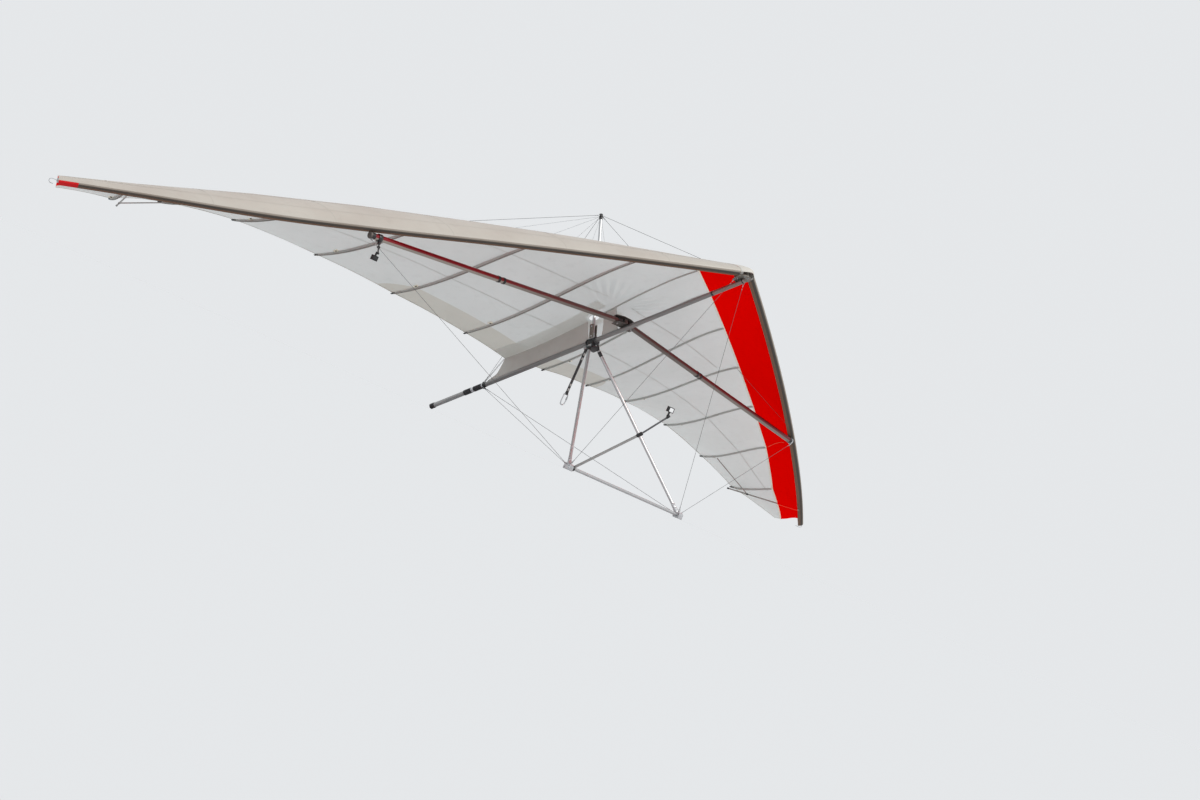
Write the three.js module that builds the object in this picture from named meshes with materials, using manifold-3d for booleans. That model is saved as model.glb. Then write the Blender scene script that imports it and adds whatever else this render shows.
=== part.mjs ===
// Tandem hang glider: single-surface sail on a king-posted aluminium frame.
// Lengths are in millimetres. Each piece is drawn in the glider's own frame: the origin is on the
// keel axis at the control-frame apex, +X points to the nose, +Y to the pilot's left, +Z up.
// The whole is then pitched nose-up on to its base bar and its tail, as it stands on the ground.

import * as THREE from 'three';
import * as BufferGeometryUtils from 'three/addons/utils/BufferGeometryUtils.js';
import Module from 'manifold-3d';

const wasm = await Module();
wasm.setup();

// Driving dimensions
const GAP = 0.3;
const CLOTH = 3;
const KEEL_RADIUS = 22;
const KEEL_FRONT_X = 1738;
const KEEL_REAR_X = -1986;
const TAIL_CAP = { radius: 26, length: 52, wall: 3 };
const KEEL_SLEEVE = { rearX: -1559, frontX: -1337, radius: 26 };
const LEADING_RADIUS = 26;
const LEADING_TIP_RADIUS = 21;
const CROSS_RADIUS = 27;
const CROSS_CENTRE = new THREE.Vector3(379, 0, 62);
const CROSS_END = new THREE.Vector3(32, 3007, -49);
const KINGPOST_RADIUS = 14;
const KINGPOST_TOP = new THREE.Vector3(176, 0, 1224);
const DOWNTUBE_RADIUS = 15;
const BASE_BAR_RADIUS = 14;
const CORNER = new THREE.Vector3(270, 777, -1576);
const CORNER_BLOCK = { length: 78, width: 54, height: 58, chamfer: 17 };
const CORNER_COLLAR = { radius: 20, start: 28, end: 74 };
const SOCKET_DEPTH = 24;
const DOWNTUBE_INSET = 28;
const WIRE_SOCKET_DEPTH = 31;
const SOCKET_CLEARANCE = 0.5;
const APEX_BLOCK = { length: 74, halfWidth: 52, topHalfWidth: 34, top: 8, shoulder: -60, bottom: -84 };
const WIRE_RADIUS = 1.6;
const BATTEN_RADIUS = 6;
const BATTEN_GAP = 0.6;
const REAR_FITTING_X = -1322;
const NOSE_COVER_HALF_WIDTH = 92;
const SPAR_START_Y = 62;
const SIDE_STAY_SECTION = 9;
const KINGPOST_HOLE_RADIUS = 46;

// Wing stations, root to tip: the front point on the leading edge (frontY, and spar height tubeZ),
// the rear point on the trailing edge (rearX, rearY, rearZ), the camber over the chord, and how
// far behind the leading edge the red panel ends (redDepth, along X).
const STATIONS = [
  { name: 'root', frontY: 0, tubeZ: 57, rearX: -1050, rearY: 0, rearZ: 193, camber: 215, redDepth: 593 },
  { name: 'batten1', frontY: 455, tubeZ: 51, rearX: -1050, rearY: 557, rearZ: 266, camber: 231, redDepth: 587 },
  { name: 'batten2', frontY: 1190, tubeZ: 41, rearX: -1187, rearY: 1393, rearZ: 426, camber: 248, redDepth: 580 },
  { name: 'batten3', frontY: 2027, tubeZ: 29, rearX: -1369, rearY: 2206, rearZ: 585, camber: 238, redDepth: 544 },
  { name: 'batten4', frontY: 2839, tubeZ: 18, rearX: -1532, rearY: 3084, rearZ: 665, camber: 217, redDepth: 507 },
  { name: 'batten5', frontY: 3697, tubeZ: 35, rearX: -1665, rearY: 3850, rearZ: 600, camber: 180, redDepth: 428 },
  { name: 'batten6', frontY: 4656, tubeZ: 112, rearX: -1700, rearY: 4400, rearZ: 430, camber: 108, redDepth: 300 },
  { name: 'tip', frontY: 5240, tubeZ: 168, rearX: -1640, rearY: 5070, rearZ: 250, camber: 62, redDepth: 195 },
];
const SKIN_STEPS = [0.1, 0.2, 0.33, 0.5, 0.72, 1];
const MAIN_STEPS = [0, 0.07, 0.14, 0.22, 0.3, 0.4, 0.5, 0.61, 0.72, 0.86, 1];
const BAY_STEPS = 3;
const TUBE_SIDES = 20;
const RED_START = 7;
const RED_GAP = 0.5;
const COVER_START = 3;
const TIP_RED = 0.96;

const RED = 0xc91410;
const SAIL_WHITE = 0xd9d7d0;
const CREAM = 0xd6d0c2;
const TAUPE = 0x8d8780;
const ALUMINIUM = 0xb4b6b8;
const DULL_GREY = 0x85878a;
const ANODISED_RED = 0x9c2a22;
const BLACK = 0x17171a;
const STEEL = 0x9a9c9f;

const glider = new THREE.Group();
const part = new THREE.Group();

const material = (color, roughness, metalness) =>
  new THREE.MeshStandardMaterial({ color, roughness, metalness });

const addTo = (group, name, geometry, look) => {
  const mesh = new THREE.Mesh(geometry, look);
  mesh.name = name;
  group.add(mesh);
  return mesh;
};

const add = (name, geometry, look) => addTo(glider, name, geometry, look);

const SIDES = [
  { name: 'left', sign: 1 },
  { name: 'right', sign: -1 },
];

const mirrored = (point, sign) => new THREE.Vector3(point.x, point.y * sign, point.z);

// Closed body from vertices and triangles; a right-hand piece is the left-hand one turned over.
const bodyFrom = (points, triangles, sign = 1) => {
  const geometry = new THREE.BufferGeometry();
  const positions = points.flatMap((p) => [p.x, p.y * sign, p.z]);
  const order = sign > 0 ? triangles : triangles.map(([a, b, c]) => [a, c, b]);
  geometry.setAttribute('position', new THREE.Float32BufferAttribute(positions, 3));
  geometry.setIndex(order.flat());
  return geometry;
};

const toManifold = (geometry) => {
  const plain = geometry.clone();
  plain.deleteAttribute('normal');
  plain.deleteAttribute('uv');
  const merged = BufferGeometryUtils.mergeVertices(plain, 1e-3);
  return new wasm.Manifold(
    new wasm.Mesh({
      numProp: 3,
      vertProperties: new Float32Array(merged.attributes.position.array),
      triVerts: new Uint32Array(merged.index.array),
    }),
  );
};

const fromManifold = (solid) => {
  const mesh = solid.getMesh();
  const geometry = new THREE.BufferGeometry();
  geometry.setAttribute('position', new THREE.BufferAttribute(new Float32Array(mesh.vertProperties), 3));
  geometry.setIndex(new THREE.BufferAttribute(new Uint32Array(mesh.triVerts), 1));
  return geometry;
};

const join = (...geometries) => {
  const solids = geometries.map(toManifold);
  return fromManifold(solids.reduce((sum, solid) => sum.add(solid)));
};

const cut = (geometry, ...cutters) => {
  const solids = cutters.map(toManifold);
  return fromManifold(solids.reduce((rest, solid) => rest.subtract(solid), toManifold(geometry)));
};

// The same body on the other side of the keel, with its faces still pointing out.
const turnedOver = (geometry, sign) => {
  if (sign > 0) {
    return geometry.clone();
  }
  const copy = geometry.clone().scale(1, -1, 1);
  const index = Array.from(copy.index.array);
  for (let corner = 0; corner < index.length; corner += 3) {
    [index[corner], index[corner + 1]] = [index[corner + 1], index[corner]];
  }
  copy.setIndex(index);
  return copy;
};

// Straight round bar between two points.
const bar = (from, to, radius, sides = 16, endRadius = radius) => {
  const axis = new THREE.Vector3().subVectors(to, from);
  const geometry = new THREE.CylinderGeometry(endRadius, radius, axis.length(), sides);
  const turn = new THREE.Quaternion().setFromUnitVectors(
    new THREE.Vector3(0, 1, 0),
    axis.clone().normalize(),
  );
  geometry.applyQuaternion(turn);
  const middle = new THREE.Vector3().addVectors(from, to).multiplyScalar(0.5);
  geometry.translate(middle.x, middle.y, middle.z);
  return geometry;
};

const shorten = (from, to, startCut, endCut) => {
  const direction = new THREE.Vector3().subVectors(to, from).normalize();
  return [
    from.clone().addScaledVector(direction, startCut),
    to.clone().addScaledVector(direction, -endCut),
  ];
};

const box = (sizeX, sizeY, sizeZ, x, y, z) =>
  new THREE.BoxGeometry(sizeX, sizeY, sizeZ).translate(x, y, z);

// Ring about the X axis, as on the keel.
const collar = (fromX, toX, innerRadius, outerRadius, sides = 16) => {
  const profile = [
    new THREE.Vector2(innerRadius, fromX),
    new THREE.Vector2(outerRadius, fromX),
    new THREE.Vector2(outerRadius, toX),
    new THREE.Vector2(innerRadius, toX),
    new THREE.Vector2(innerRadius, fromX),
  ];
  return new THREE.LatheGeometry(profile, sides).rotateZ(-Math.PI / 2);
};

// Round body about the X axis from a profile of [radius, x] that starts and ends on the axis.
const turned = (profile, sides = 16) =>
  new THREE.LatheGeometry(
    profile.map(([radius, x]) => new THREE.Vector2(radius, x)),
    sides,
  ).rotateZ(-Math.PI / 2);

// Skin between an outer and an inner grid of points, closed round its four borders.
const slab = (outer, inner, sign = 1) => {
  const rows = outer.length;
  const columns = outer[0].length;
  const points = [...outer.flat(), ...inner.flat()];
  const under = rows * columns;
  const at = (row, column) => row * columns + column;
  const triangles = [];
  const quad = (a, b, c, d) => triangles.push([a, c, b], [a, d, c]);
  for (let row = 0; row < rows - 1; row += 1) {
    for (let column = 0; column < columns - 1; column += 1) {
      const a = at(row, column);
      const b = at(row + 1, column);
      const c = at(row + 1, column + 1);
      const d = at(row, column + 1);
      quad(a, d, c, b);
      quad(under + a, under + b, under + c, under + d);
    }
  }
  for (let row = 0; row < rows - 1; row += 1) {
    const first = at(row, 0);
    const next = at(row + 1, 0);
    quad(first, next, under + next, under + first);
    const last = at(row, columns - 1);
    const after = at(row + 1, columns - 1);
    quad(after, last, under + last, under + after);
  }
  for (let column = 0; column < columns - 1; column += 1) {
    quad(at(0, column + 1), at(0, column), under + at(0, column), under + at(0, column + 1));
    const end = rows - 1;
    quad(at(end, column), at(end, column + 1), under + at(end, column + 1), under + at(end, column));
  }
  return bodyFrom(points, triangles, sign);
};

// Triangles between a ring of points and the next; the rings lie one after another in the list.
const ringStrip = (ring, next, count) =>
  Array.from({ length: count }, (_, index) => {
    const after = (index + 1) % count;
    const a = ring * count + index;
    const b = ring * count + after;
    const c = next * count + after;
    const d = next * count + index;
    return [[a, b, c], [a, c, d]];
  }).flat();

// Solid between rings of points, closed at both ends by a fan.
const loft = (rings, sign = 1) => {
  const count = rings[0].length;
  const triangles = rings.slice(1).flatMap((_, ring) => ringStrip(ring, ring + 1, count));
  const start = (rings.length - 1) * count;
  for (let index = 1; index < count - 1; index += 1) {
    triangles.push([0, index + 1, index], [start, start + index, start + index + 1]);
  }
  return bodyFrom(rings.flat(), triangles, sign);
};

// Solid whose rings run round and meet the first one again.
const closedLoft = (rings) => {
  const triangles = rings.flatMap((_, ring) => ringStrip(ring, (ring + 1) % rings.length, rings[0].length));
  return bodyFrom(rings.flat(), triangles);
};

// Leading edge in plan: how far forward the front of the wing lies at a distance out from the keel.
const FRONT_CURVE = { nose: 1838, slope: 0.545, bend: 9e-6, sweep: 1e-9 };
const frontX = (y) =>
  FRONT_CURVE.nose - FRONT_CURVE.slope * y - FRONT_CURVE.bend * y * y - FRONT_CURVE.sweep * y ** 3;

// The leading-edge tube narrows between the fifth and the sixth batten.
const leadingRadius = (y) => {
  const share = (y - STATIONS[5].frontY) / (STATIONS[6].frontY - STATIONS[5].frontY);
  return LEADING_RADIUS + (LEADING_TIP_RADIUS - LEADING_RADIUS) * Math.min(Math.max(share, 0), 1);
};

// A section stands in the vertical plane through its front and rear points.
const SPAR_DROP = 36;
const CAMBER_PEAK = 0.213;
const section = (station) => {
  const front = new THREE.Vector3(frontX(station.frontY), station.frontY, station.tubeZ);
  const rear = new THREE.Vector3(station.rearX, station.rearY, station.rearZ);
  const aft = new THREE.Vector3(rear.x - front.x, rear.y - front.y, 0);
  const chord = aft.length();
  aft.normalize();
  const slopeY = 1;
  const edge = new THREE.Vector3(
    frontX(station.frontY + slopeY) - frontX(station.frontY),
    slopeY,
    0,
  ).normalize();
  const skew = Math.abs(aft.x * edge.y - aft.y * edge.x);
  const tubeRadius = leadingRadius(station.frontY);
  const place = (along, z) => new THREE.Vector3(front.x + aft.x * along, front.y + aft.y * along, z);
  const height = (t) => {
    const foot = station.tubeZ - SPAR_DROP;
    const arch = (station.camber / CAMBER_PEAK) * t ** 0.7 * (1 - t) ** 2;
    return foot + (station.rearZ - foot) * t + arch + SPAR_DROP * (1 - t) ** 3;
  };
  const tubeAlong = (tubeRadius + GAP + CLOTH + 0.1) / skew;
  const redT = Math.min(station.redDepth / Math.abs(aft.x) / chord, TIP_RED);
  return { station, front, rear, aft, chord, skew, tubeRadius, tubeAlong, place, height, redT };
};

const sections = STATIONS.map(section);

// Smooth run of one column of the stations, share of the way through a bay.
const softly = (key, bay, share) => {
  const width = (index) => STATIONS[index + 1].frontY - STATIONS[index].frontY;
  const rise = (index) => (STATIONS[index + 1][key] - STATIONS[index][key]) / width(index);
  const slope = (index) => {
    if (index === 0) {
      return rise(0);
    }
    if (index === STATIONS.length - 1) {
      return rise(index - 1);
    }
    const before = width(index - 1);
    const after = width(index);
    return (rise(index - 1) * after + rise(index) * before) / (before + after);
  };
  const square = share * share;
  const cube = square * share;
  return (
    (2 * cube - 3 * square + 1) * STATIONS[bay][key] +
    (cube - 2 * square + share) * width(bay) * slope(bay) +
    (3 * square - 2 * cube) * STATIONS[bay + 1][key] +
    (cube - square) * width(bay) * slope(bay + 1)
  );
};

// Sections from the first batten to the tip, with more between the battens. The trailing edge runs
// straight from batten to batten.
const outerSections = [];
for (let bay = 1; bay < STATIONS.length - 1; bay += 1) {
  for (let step = 0; step < BAY_STEPS; step += 1) {
    const share = step / BAY_STEPS;
    const straight = (key) => STATIONS[bay][key] + (STATIONS[bay + 1][key] - STATIONS[bay][key]) * share;
    outerSections.push(
      section({
        name: `bay${bay}`,
        frontY: straight('frontY'),
        tubeZ: softly('tubeZ', bay, share),
        rearX: straight('rearX'),
        rearY: straight('rearY'),
        rearZ: straight('rearZ'),
        camber: softly('camber', bay, share),
        redDepth: softly('redDepth', bay, share),
      }),
    );
  }
}
outerSections.push(sections[sections.length - 1]);

// A section part of the way from the root to the first batten, at a distance out from the keel.
const nearRoot = (y) => {
  const [root, first] = STATIONS;
  const share = y / first.frontY;
  const mix = (key) => root[key] + (first[key] - root[key]) * share;
  return section({
    name: 'nearRoot',
    frontY: y,
    tubeZ: mix('tubeZ'),
    rearX: mix('rearX'),
    rearY: Math.max(mix('rearY'), GAP / 2),
    rearZ: mix('rearZ'),
    camber: mix('camber'),
    redDepth: mix('redDepth'),
  });
};

// Offsets a section's profile of [along, z] inward by a distance, keeping its corners mitred.
const offsetProfile = (profile, distance) =>
  profile.map(([along, z], index) => {
    const before = profile[Math.max(index - 1, 0)];
    const after = profile[Math.min(index + 1, profile.length - 1)];
    const normals = [];
    if (index > 0) {
      normals.push([z - before[1], -(along - before[0])]);
    }
    if (index < profile.length - 1) {
      normals.push([after[1] - z, -(after[0] - along)]);
    }
    const units = normals.map(([a, b]) => {
      const length = Math.hypot(a, b);
      return [a / length, b / length];
    });
    const sumA = units.reduce((sum, unit) => sum + unit[0], 0) / units.length;
    const sumB = units.reduce((sum, unit) => sum + unit[1], 0) / units.length;
    const scale = distance / (sumA * sumA + sumB * sumB);
    return [along + sumA * scale, z + sumB * scale];
  });

// Profile of the top skin: from under the leading-edge tube, round its front and up over the camber.
const HUG_ANGLES = [270, 240, 210, 180, 150];
const STRIP_TAIL = 34;
const skinProfile = (s, endT) => {
  const reach = s.tubeRadius + GAP + 0.1 + CLOTH;
  const wrap = HUG_ANGLES.map((degrees) => {
    const angle = (degrees * Math.PI) / 180;
    return [s.tubeAlong + (reach * Math.cos(angle)) / s.skew, s.station.tubeZ + reach * Math.sin(angle)];
  });
  const strip = [s.tubeAlong + STRIP_TAIL / s.skew, s.station.tubeZ - reach];
  const climb = SKIN_STEPS.map((step) => {
    const t = endT * step;
    return [t * s.chord, s.height(t)];
  });
  return [strip, ...wrap, ...climb];
};

const upperProfile = (s, steps, fromT, toT) =>
  steps.map((step) => {
    const t = fromT + (toT - fromT) * step;
    return [t * s.chord, s.height(t)];
  });

const toGrid = (list, profiles) => list.map((s, row) => profiles[row].map(([along, z]) => s.place(along, z)));

const wingSections = [nearRoot(NOSE_COVER_HALF_WIDTH + GAP), ...outerSections];
const rootSections = [nearRoot(GAP / 2), ...outerSections];

const tubeRing = (s, radius, sides = 12) =>
  Array.from({ length: sides }, (_, index) => {
    const angle = (index * 2 * Math.PI) / sides;
    return s.place(
      s.tubeAlong + (radius * Math.cos(angle)) / s.skew,
      s.station.tubeZ + radius * Math.sin(angle),
    );
  });

// Kingpost axis, and where the upper side wires meet the leading-edge tubes through the sail
const kingpostFoot = new THREE.Vector3(3, 0, KEEL_RADIUS + 2.6);
const kingAxis = new THREE.Vector3().subVectors(KINGPOST_TOP, kingpostFoot).normalize();
const kingHead = KINGPOST_TOP.clone().addScaledVector(kingAxis, 20);
const sparCentre = (s) => s.place(s.tubeAlong, s.station.tubeZ);
const sideTop = new THREE.Vector3()
  .lerpVectors(sparCentre(outerSections[SIDE_STAY_SECTION]), sparCentre(outerSections[SIDE_STAY_SECTION + 1]), 0.45)
  .add(new THREE.Vector3(0, 0, LEADING_RADIUS + 2.2));
const wireHole = bar(kingHead, sideTop, 6, 8);
const noseTubeZ = STATIONS[0].tubeZ;
const noseTop = new THREE.Vector3(1662, 0, noseTubeZ + LEADING_RADIUS + GAP + 6 + 1.8);
const noseSlot = bar(kingHead, noseTop, 6, 8);

// Wing of each side
const REAR_GAP = 0.4;
for (const side of SIDES) {
  const clothLook = material(SAIL_WHITE, 0.75, 0);

  const skin = wingSections.map((s) => skinProfile(s, s.redT));
  const pocket = slab(
    toGrid(wingSections, skin),
    toGrid(wingSections, skin.map((profile) => offsetProfile(profile, CLOTH))),
    side.sign,
  );
  const wireSlot = turnedOver(wireHole, side.sign);
  add(`leading_edge_pocket_${side.name}`, cut(pocket, wireSlot), material(CREAM, 0.7, 0));

  const redSections = [nearRoot(GAP / 2), nearRoot(NOSE_COVER_HALF_WIDTH / 2), ...wingSections];
  const redFace = (distance) =>
    toGrid(
      redSections,
      redSections.map((s) => offsetProfile(skinProfile(s, s.redT), distance).slice(RED_START)),
    );
  const redPanel = slab(redFace(CLOTH + RED_GAP), redFace(2 * CLOTH + RED_GAP), side.sign);
  add(`red_panel_${side.name}`, cut(redPanel, wireSlot, noseSlot), material(RED, 0.65, 0));

  const main = rootSections.map((s) => upperProfile(s, MAIN_STEPS, s.redT + REAR_GAP / s.chord, 1));
  const sail = slab(
    toGrid(rootSections, main),
    toGrid(rootSections, main.map((profile) => offsetProfile(profile, CLOTH))),
    side.sign,
  );
  const hole = bar(new THREE.Vector3(5, 0, 40), new THREE.Vector3(60, 0, 430), KINGPOST_HOLE_RADIUS, 16);
  add(`sail_${side.name}`, cut(sail, hole, wireSlot), clothLook);

  sections.slice(1, 7).forEach((s, index) => {
    const start = s.redT + 14 / s.chord;
    const profile = offsetProfile(
      upperProfile(s, MAIN_STEPS, s.redT + REAR_GAP / s.chord, 1),
      CLOTH + BATTEN_GAP + BATTEN_RADIUS,
    );
    profile[0][0] = start * s.chord;
    const rings = profile.map(([along, z], ring) => {
      const before = profile[Math.max(ring - 1, 0)];
      const after = profile[Math.min(ring + 1, profile.length - 1)];
      const slope = Math.atan2(after[1] - before[1], after[0] - before[0]);
      return Array.from({ length: 8 }, (_, corner) => {
        const angle = ((corner + 0.5) * Math.PI) / 4;
        const across = BATTEN_RADIUS * Math.cos(angle);
        const lift = BATTEN_RADIUS * Math.sin(angle);
        const point = s.place(along - lift * Math.sin(slope), z + lift * Math.cos(slope));
        return point.add(new THREE.Vector3(-s.aft.y * across, s.aft.x * across, 0));
      });
    });
    add(`batten_${side.name}_${index + 1}`, loft(rings, side.sign), material(DULL_GREY, 0.6, 0.3));
  });

  const spar = [nearRoot(SPAR_START_Y), ...outerSections].map((s) => tubeRing(s, s.tubeRadius));
  add(`leading_edge_tube_${side.name}`, loft(spar, side.sign), material(ALUMINIUM, 0.4, 0.8));
}

// Keel, with its tail cap and protective sleeve
const keelTube = bar(
  new THREE.Vector3(KEEL_REAR_X + TAIL_CAP.wall + GAP, 0, 0),
  new THREE.Vector3(KEEL_FRONT_X, 0, 0),
  KEEL_RADIUS,
  TUBE_SIDES,
);
add('keel_tube', keelTube, material(DULL_GREY, 0.45, 0.7));
add(
  'tail_cap',
  turned([
    [0, KEEL_REAR_X],
    [TAIL_CAP.radius, KEEL_REAR_X],
    [TAIL_CAP.radius, KEEL_REAR_X + TAIL_CAP.length],
    [KEEL_RADIUS + GAP + 0.5, KEEL_REAR_X + TAIL_CAP.length],
    [KEEL_RADIUS + GAP + 0.5, KEEL_REAR_X + TAIL_CAP.wall],
    [0, KEEL_REAR_X + TAIL_CAP.wall],
  ]),
  material(BLACK, 0.6, 0),
);
add(
  'keel_sleeve',
  collar(KEEL_SLEEVE.rearX, KEEL_SLEEVE.frontX, KEEL_RADIUS + GAP + 0.5, KEEL_SLEEVE.radius),
  material(BLACK, 0.7, 0),
);

// Nose bracket: a plate on the keel under the two leading-edge tubes, and its twin above them
const nosePlate = (z) => {
  const shape = new THREE.Shape();
  shape.moveTo(1788, -30);
  shape.lineTo(1788, 30);
  shape.lineTo(1746, 86);
  shape.lineTo(1650, 60);
  shape.lineTo(1650, -60);
  shape.lineTo(1746, -86);
  shape.closePath();
  return new THREE.ExtrudeGeometry(shape, { depth: 6, bevelEnabled: false }).translate(0, 0, z);
};
const noseBracket = join(
  nosePlate(KEEL_RADIUS + GAP),
  nosePlate(noseTubeZ + LEADING_RADIUS + GAP),
  box(150, 24, noseTubeZ + LEADING_RADIUS + GAP - KEEL_RADIUS, 1715, 0,
    (noseTubeZ + LEADING_RADIUS + KEEL_RADIUS + 2 * GAP) / 2 + 1),
);

// Nose cover: one cloth wrap that carries the skin across the nose between the two pockets
const coverRows = [-1, -0.5, 0, 0.5, 1].map((share) => share * NOSE_COVER_HALF_WIDTH);
const coverGrid = (distance) =>
  coverRows.map((y) => {
    const s = nearRoot(Math.abs(y));
    return offsetProfile(skinProfile(s, s.redT), distance)
      .slice(COVER_START)
      .map(([along, z]) => {
        const point = s.place(along, z);
        return new THREE.Vector3(point.x, Math.sign(y) * point.y, z);
      });
  });
add('nose_cover', cut(slab(coverGrid(0), coverGrid(CLOTH)), noseSlot), material(SAIL_WHITE, 0.6, 0));

// Cross tubes, hinged at the middle over the keel and bolted under the leading edges
const crossRun = new THREE.Vector3().subVectors(CROSS_END, CROSS_CENTRE);
for (const side of SIDES) {
  const [from, to] = shorten(CROSS_CENTRE, CROSS_END, 46, 0);
  add(
    `cross_tube_${side.name}`,
    bar(mirrored(from, side.sign), mirrored(to, side.sign), CROSS_RADIUS, TUBE_SIDES),
    material(ANODISED_RED, 0.45, 0.6),
  );
}
const junctionBottom = KEEL_RADIUS + 2.6;
const junctionShape = new THREE.Shape();
junctionShape.moveTo(CROSS_CENTRE.x + 44, -46);
junctionShape.lineTo(CROSS_CENTRE.x + 44, 46);
junctionShape.lineTo(CROSS_CENTRE.x + 20, 130);
junctionShape.lineTo(CROSS_CENTRE.x - 52, 130);
junctionShape.lineTo(CROSS_CENTRE.x - 48, -0);
junctionShape.lineTo(CROSS_CENTRE.x - 52, -130);
junctionShape.lineTo(CROSS_CENTRE.x + 20, -130);
junctionShape.closePath();
const junctionPlate = (z) =>
  new THREE.ExtrudeGeometry(junctionShape, { depth: 5, bevelEnabled: false }).translate(0, 0, z);
add(
  'cross_tube_junction',
  join(
    junctionPlate(junctionBottom),
    junctionPlate(CROSS_CENTRE.z + CROSS_RADIUS + GAP),
    box(50, 40, CROSS_CENTRE.z + CROSS_RADIUS - junctionBottom - 1, CROSS_CENTRE.x, 0,
      (CROSS_CENTRE.z + CROSS_RADIUS + junctionBottom + 3) / 2),
    box(60, 20, 4, CROSS_CENTRE.x, 0, KEEL_RADIUS + GAP + 2),
  ),
  material(BLACK, 0.5, 0.2),
);

for (const side of SIDES) {
  const end = mirrored(CROSS_END, side.sign);
  const away = mirrored(crossRun.clone().normalize(), side.sign);
  const start = end.clone().addScaledVector(away, GAP);
  const stop = end.clone().addScaledVector(away, 22);
  add(`cross_tube_bracket_${side.name}`, bar(start, stop, CROSS_RADIUS + 4, 12), material(BLACK, 0.5, 0.3));
}

// Kingpost and its cap
add('kingpost', bar(kingpostFoot, KINGPOST_TOP, KINGPOST_RADIUS, TUBE_SIDES), material(ALUMINIUM, 0.25, 0.9));
const capStart = KINGPOST_TOP.clone().addScaledVector(kingAxis, GAP);
const capEnd = KINGPOST_TOP.clone().addScaledVector(kingAxis, 34);
add('kingpost_cap', bar(capStart, capEnd, KINGPOST_RADIUS + 4, 12), material(BLACK, 0.5, 0));

// Control frame
const downRun = new THREE.Vector3(CORNER.x, CORNER.y - DOWNTUBE_INSET, CORNER.z).normalize();
const downTop = new THREE.Vector3(0, DOWNTUBE_INSET, 0)
  .addScaledVector(downRun, (APEX_BLOCK.bottom + SOCKET_DEPTH) / downRun.z);
const socketFor = (from, to, radius, sides, sign) => {
  const axis = new THREE.Vector3().subVectors(to, from).normalize();
  return bar(
    mirrored(from.clone().addScaledVector(axis, -SOCKET_CLEARANCE), sign),
    mirrored(to.clone().addScaledVector(axis, SOCKET_CLEARANCE), sign),
    radius + SOCKET_CLEARANCE,
    sides,
  );
};
const cornerTop = CORNER.clone().addScaledVector(downRun, -SOCKET_DEPTH);
const apexShape = new THREE.Shape([
  new THREE.Vector2(-APEX_BLOCK.halfWidth, APEX_BLOCK.bottom),
  new THREE.Vector2(APEX_BLOCK.halfWidth, APEX_BLOCK.bottom),
  new THREE.Vector2(APEX_BLOCK.halfWidth, APEX_BLOCK.shoulder),
  new THREE.Vector2(APEX_BLOCK.topHalfWidth, APEX_BLOCK.top),
  new THREE.Vector2(-APEX_BLOCK.topHalfWidth, APEX_BLOCK.top),
  new THREE.Vector2(-APEX_BLOCK.halfWidth, APEX_BLOCK.shoulder),
]);
const apexBody = new THREE.ExtrudeGeometry(apexShape, { depth: APEX_BLOCK.length, bevelEnabled: false })
  .translate(0, 0, -APEX_BLOCK.length / 2)
  .rotateX(Math.PI / 2)
  .rotateZ(Math.PI / 2);
const keelSaddle = bar(
  new THREE.Vector3(-APEX_BLOCK.length, 0, 0),
  new THREE.Vector3(APEX_BLOCK.length, 0, 0),
  KEEL_RADIUS + GAP + 0.1,
  TUBE_SIDES,
);
add(
  'apex_bracket',
  cut(
    apexBody,
    keelSaddle,
    socketFor(downTop, cornerTop, DOWNTUBE_RADIUS, TUBE_SIDES, 1),
    socketFor(downTop, cornerTop, DOWNTUBE_RADIUS, TUBE_SIDES, -1),
  ),
  material(BLACK, 0.55, 0.2),
);
for (const side of SIDES) {
  add(
    `downtube_${side.name}`,
    bar(mirrored(downTop, side.sign), mirrored(cornerTop, side.sign), DOWNTUBE_RADIUS, TUBE_SIDES),
    material(ALUMINIUM, 0.2, 0.95),
  );
}
const barHalf = CORNER.y - CORNER_BLOCK.width / 2 - GAP;
add(
  'base_bar',
  bar(new THREE.Vector3(CORNER.x, -barHalf, CORNER.z), new THREE.Vector3(CORNER.x, barHalf, CORNER.z),
    BASE_BAR_RADIUS, TUBE_SIDES),
  material(ALUMINIUM, 0.25, 0.9),
);

// Ground attitude: the feet of the corner brackets and the rim of the tail cap share the floor
const footDrop = CORNER_BLOCK.height / 2;
const tailPoint = new THREE.Vector3(KEEL_REAR_X, 0, 0);
const footSpan = Math.hypot(CORNER.x - tailPoint.x, CORNER.z - tailPoint.z);
const pitchFor = () => {
  let pitch = Math.PI / 5;
  for (let pass = 0; pass < 60; pass += 1) {
    const tailLow = tailPoint.x * Math.sin(pitch) - TAIL_CAP.radius * Math.cos(pitch);
    const cornerLow = CORNER.x * Math.sin(pitch) + CORNER.z * Math.cos(pitch) - footDrop;
    pitch += (tailLow - cornerLow) / footSpan;
  }
  return pitch;
};
const PITCH = pitchFor();

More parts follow.
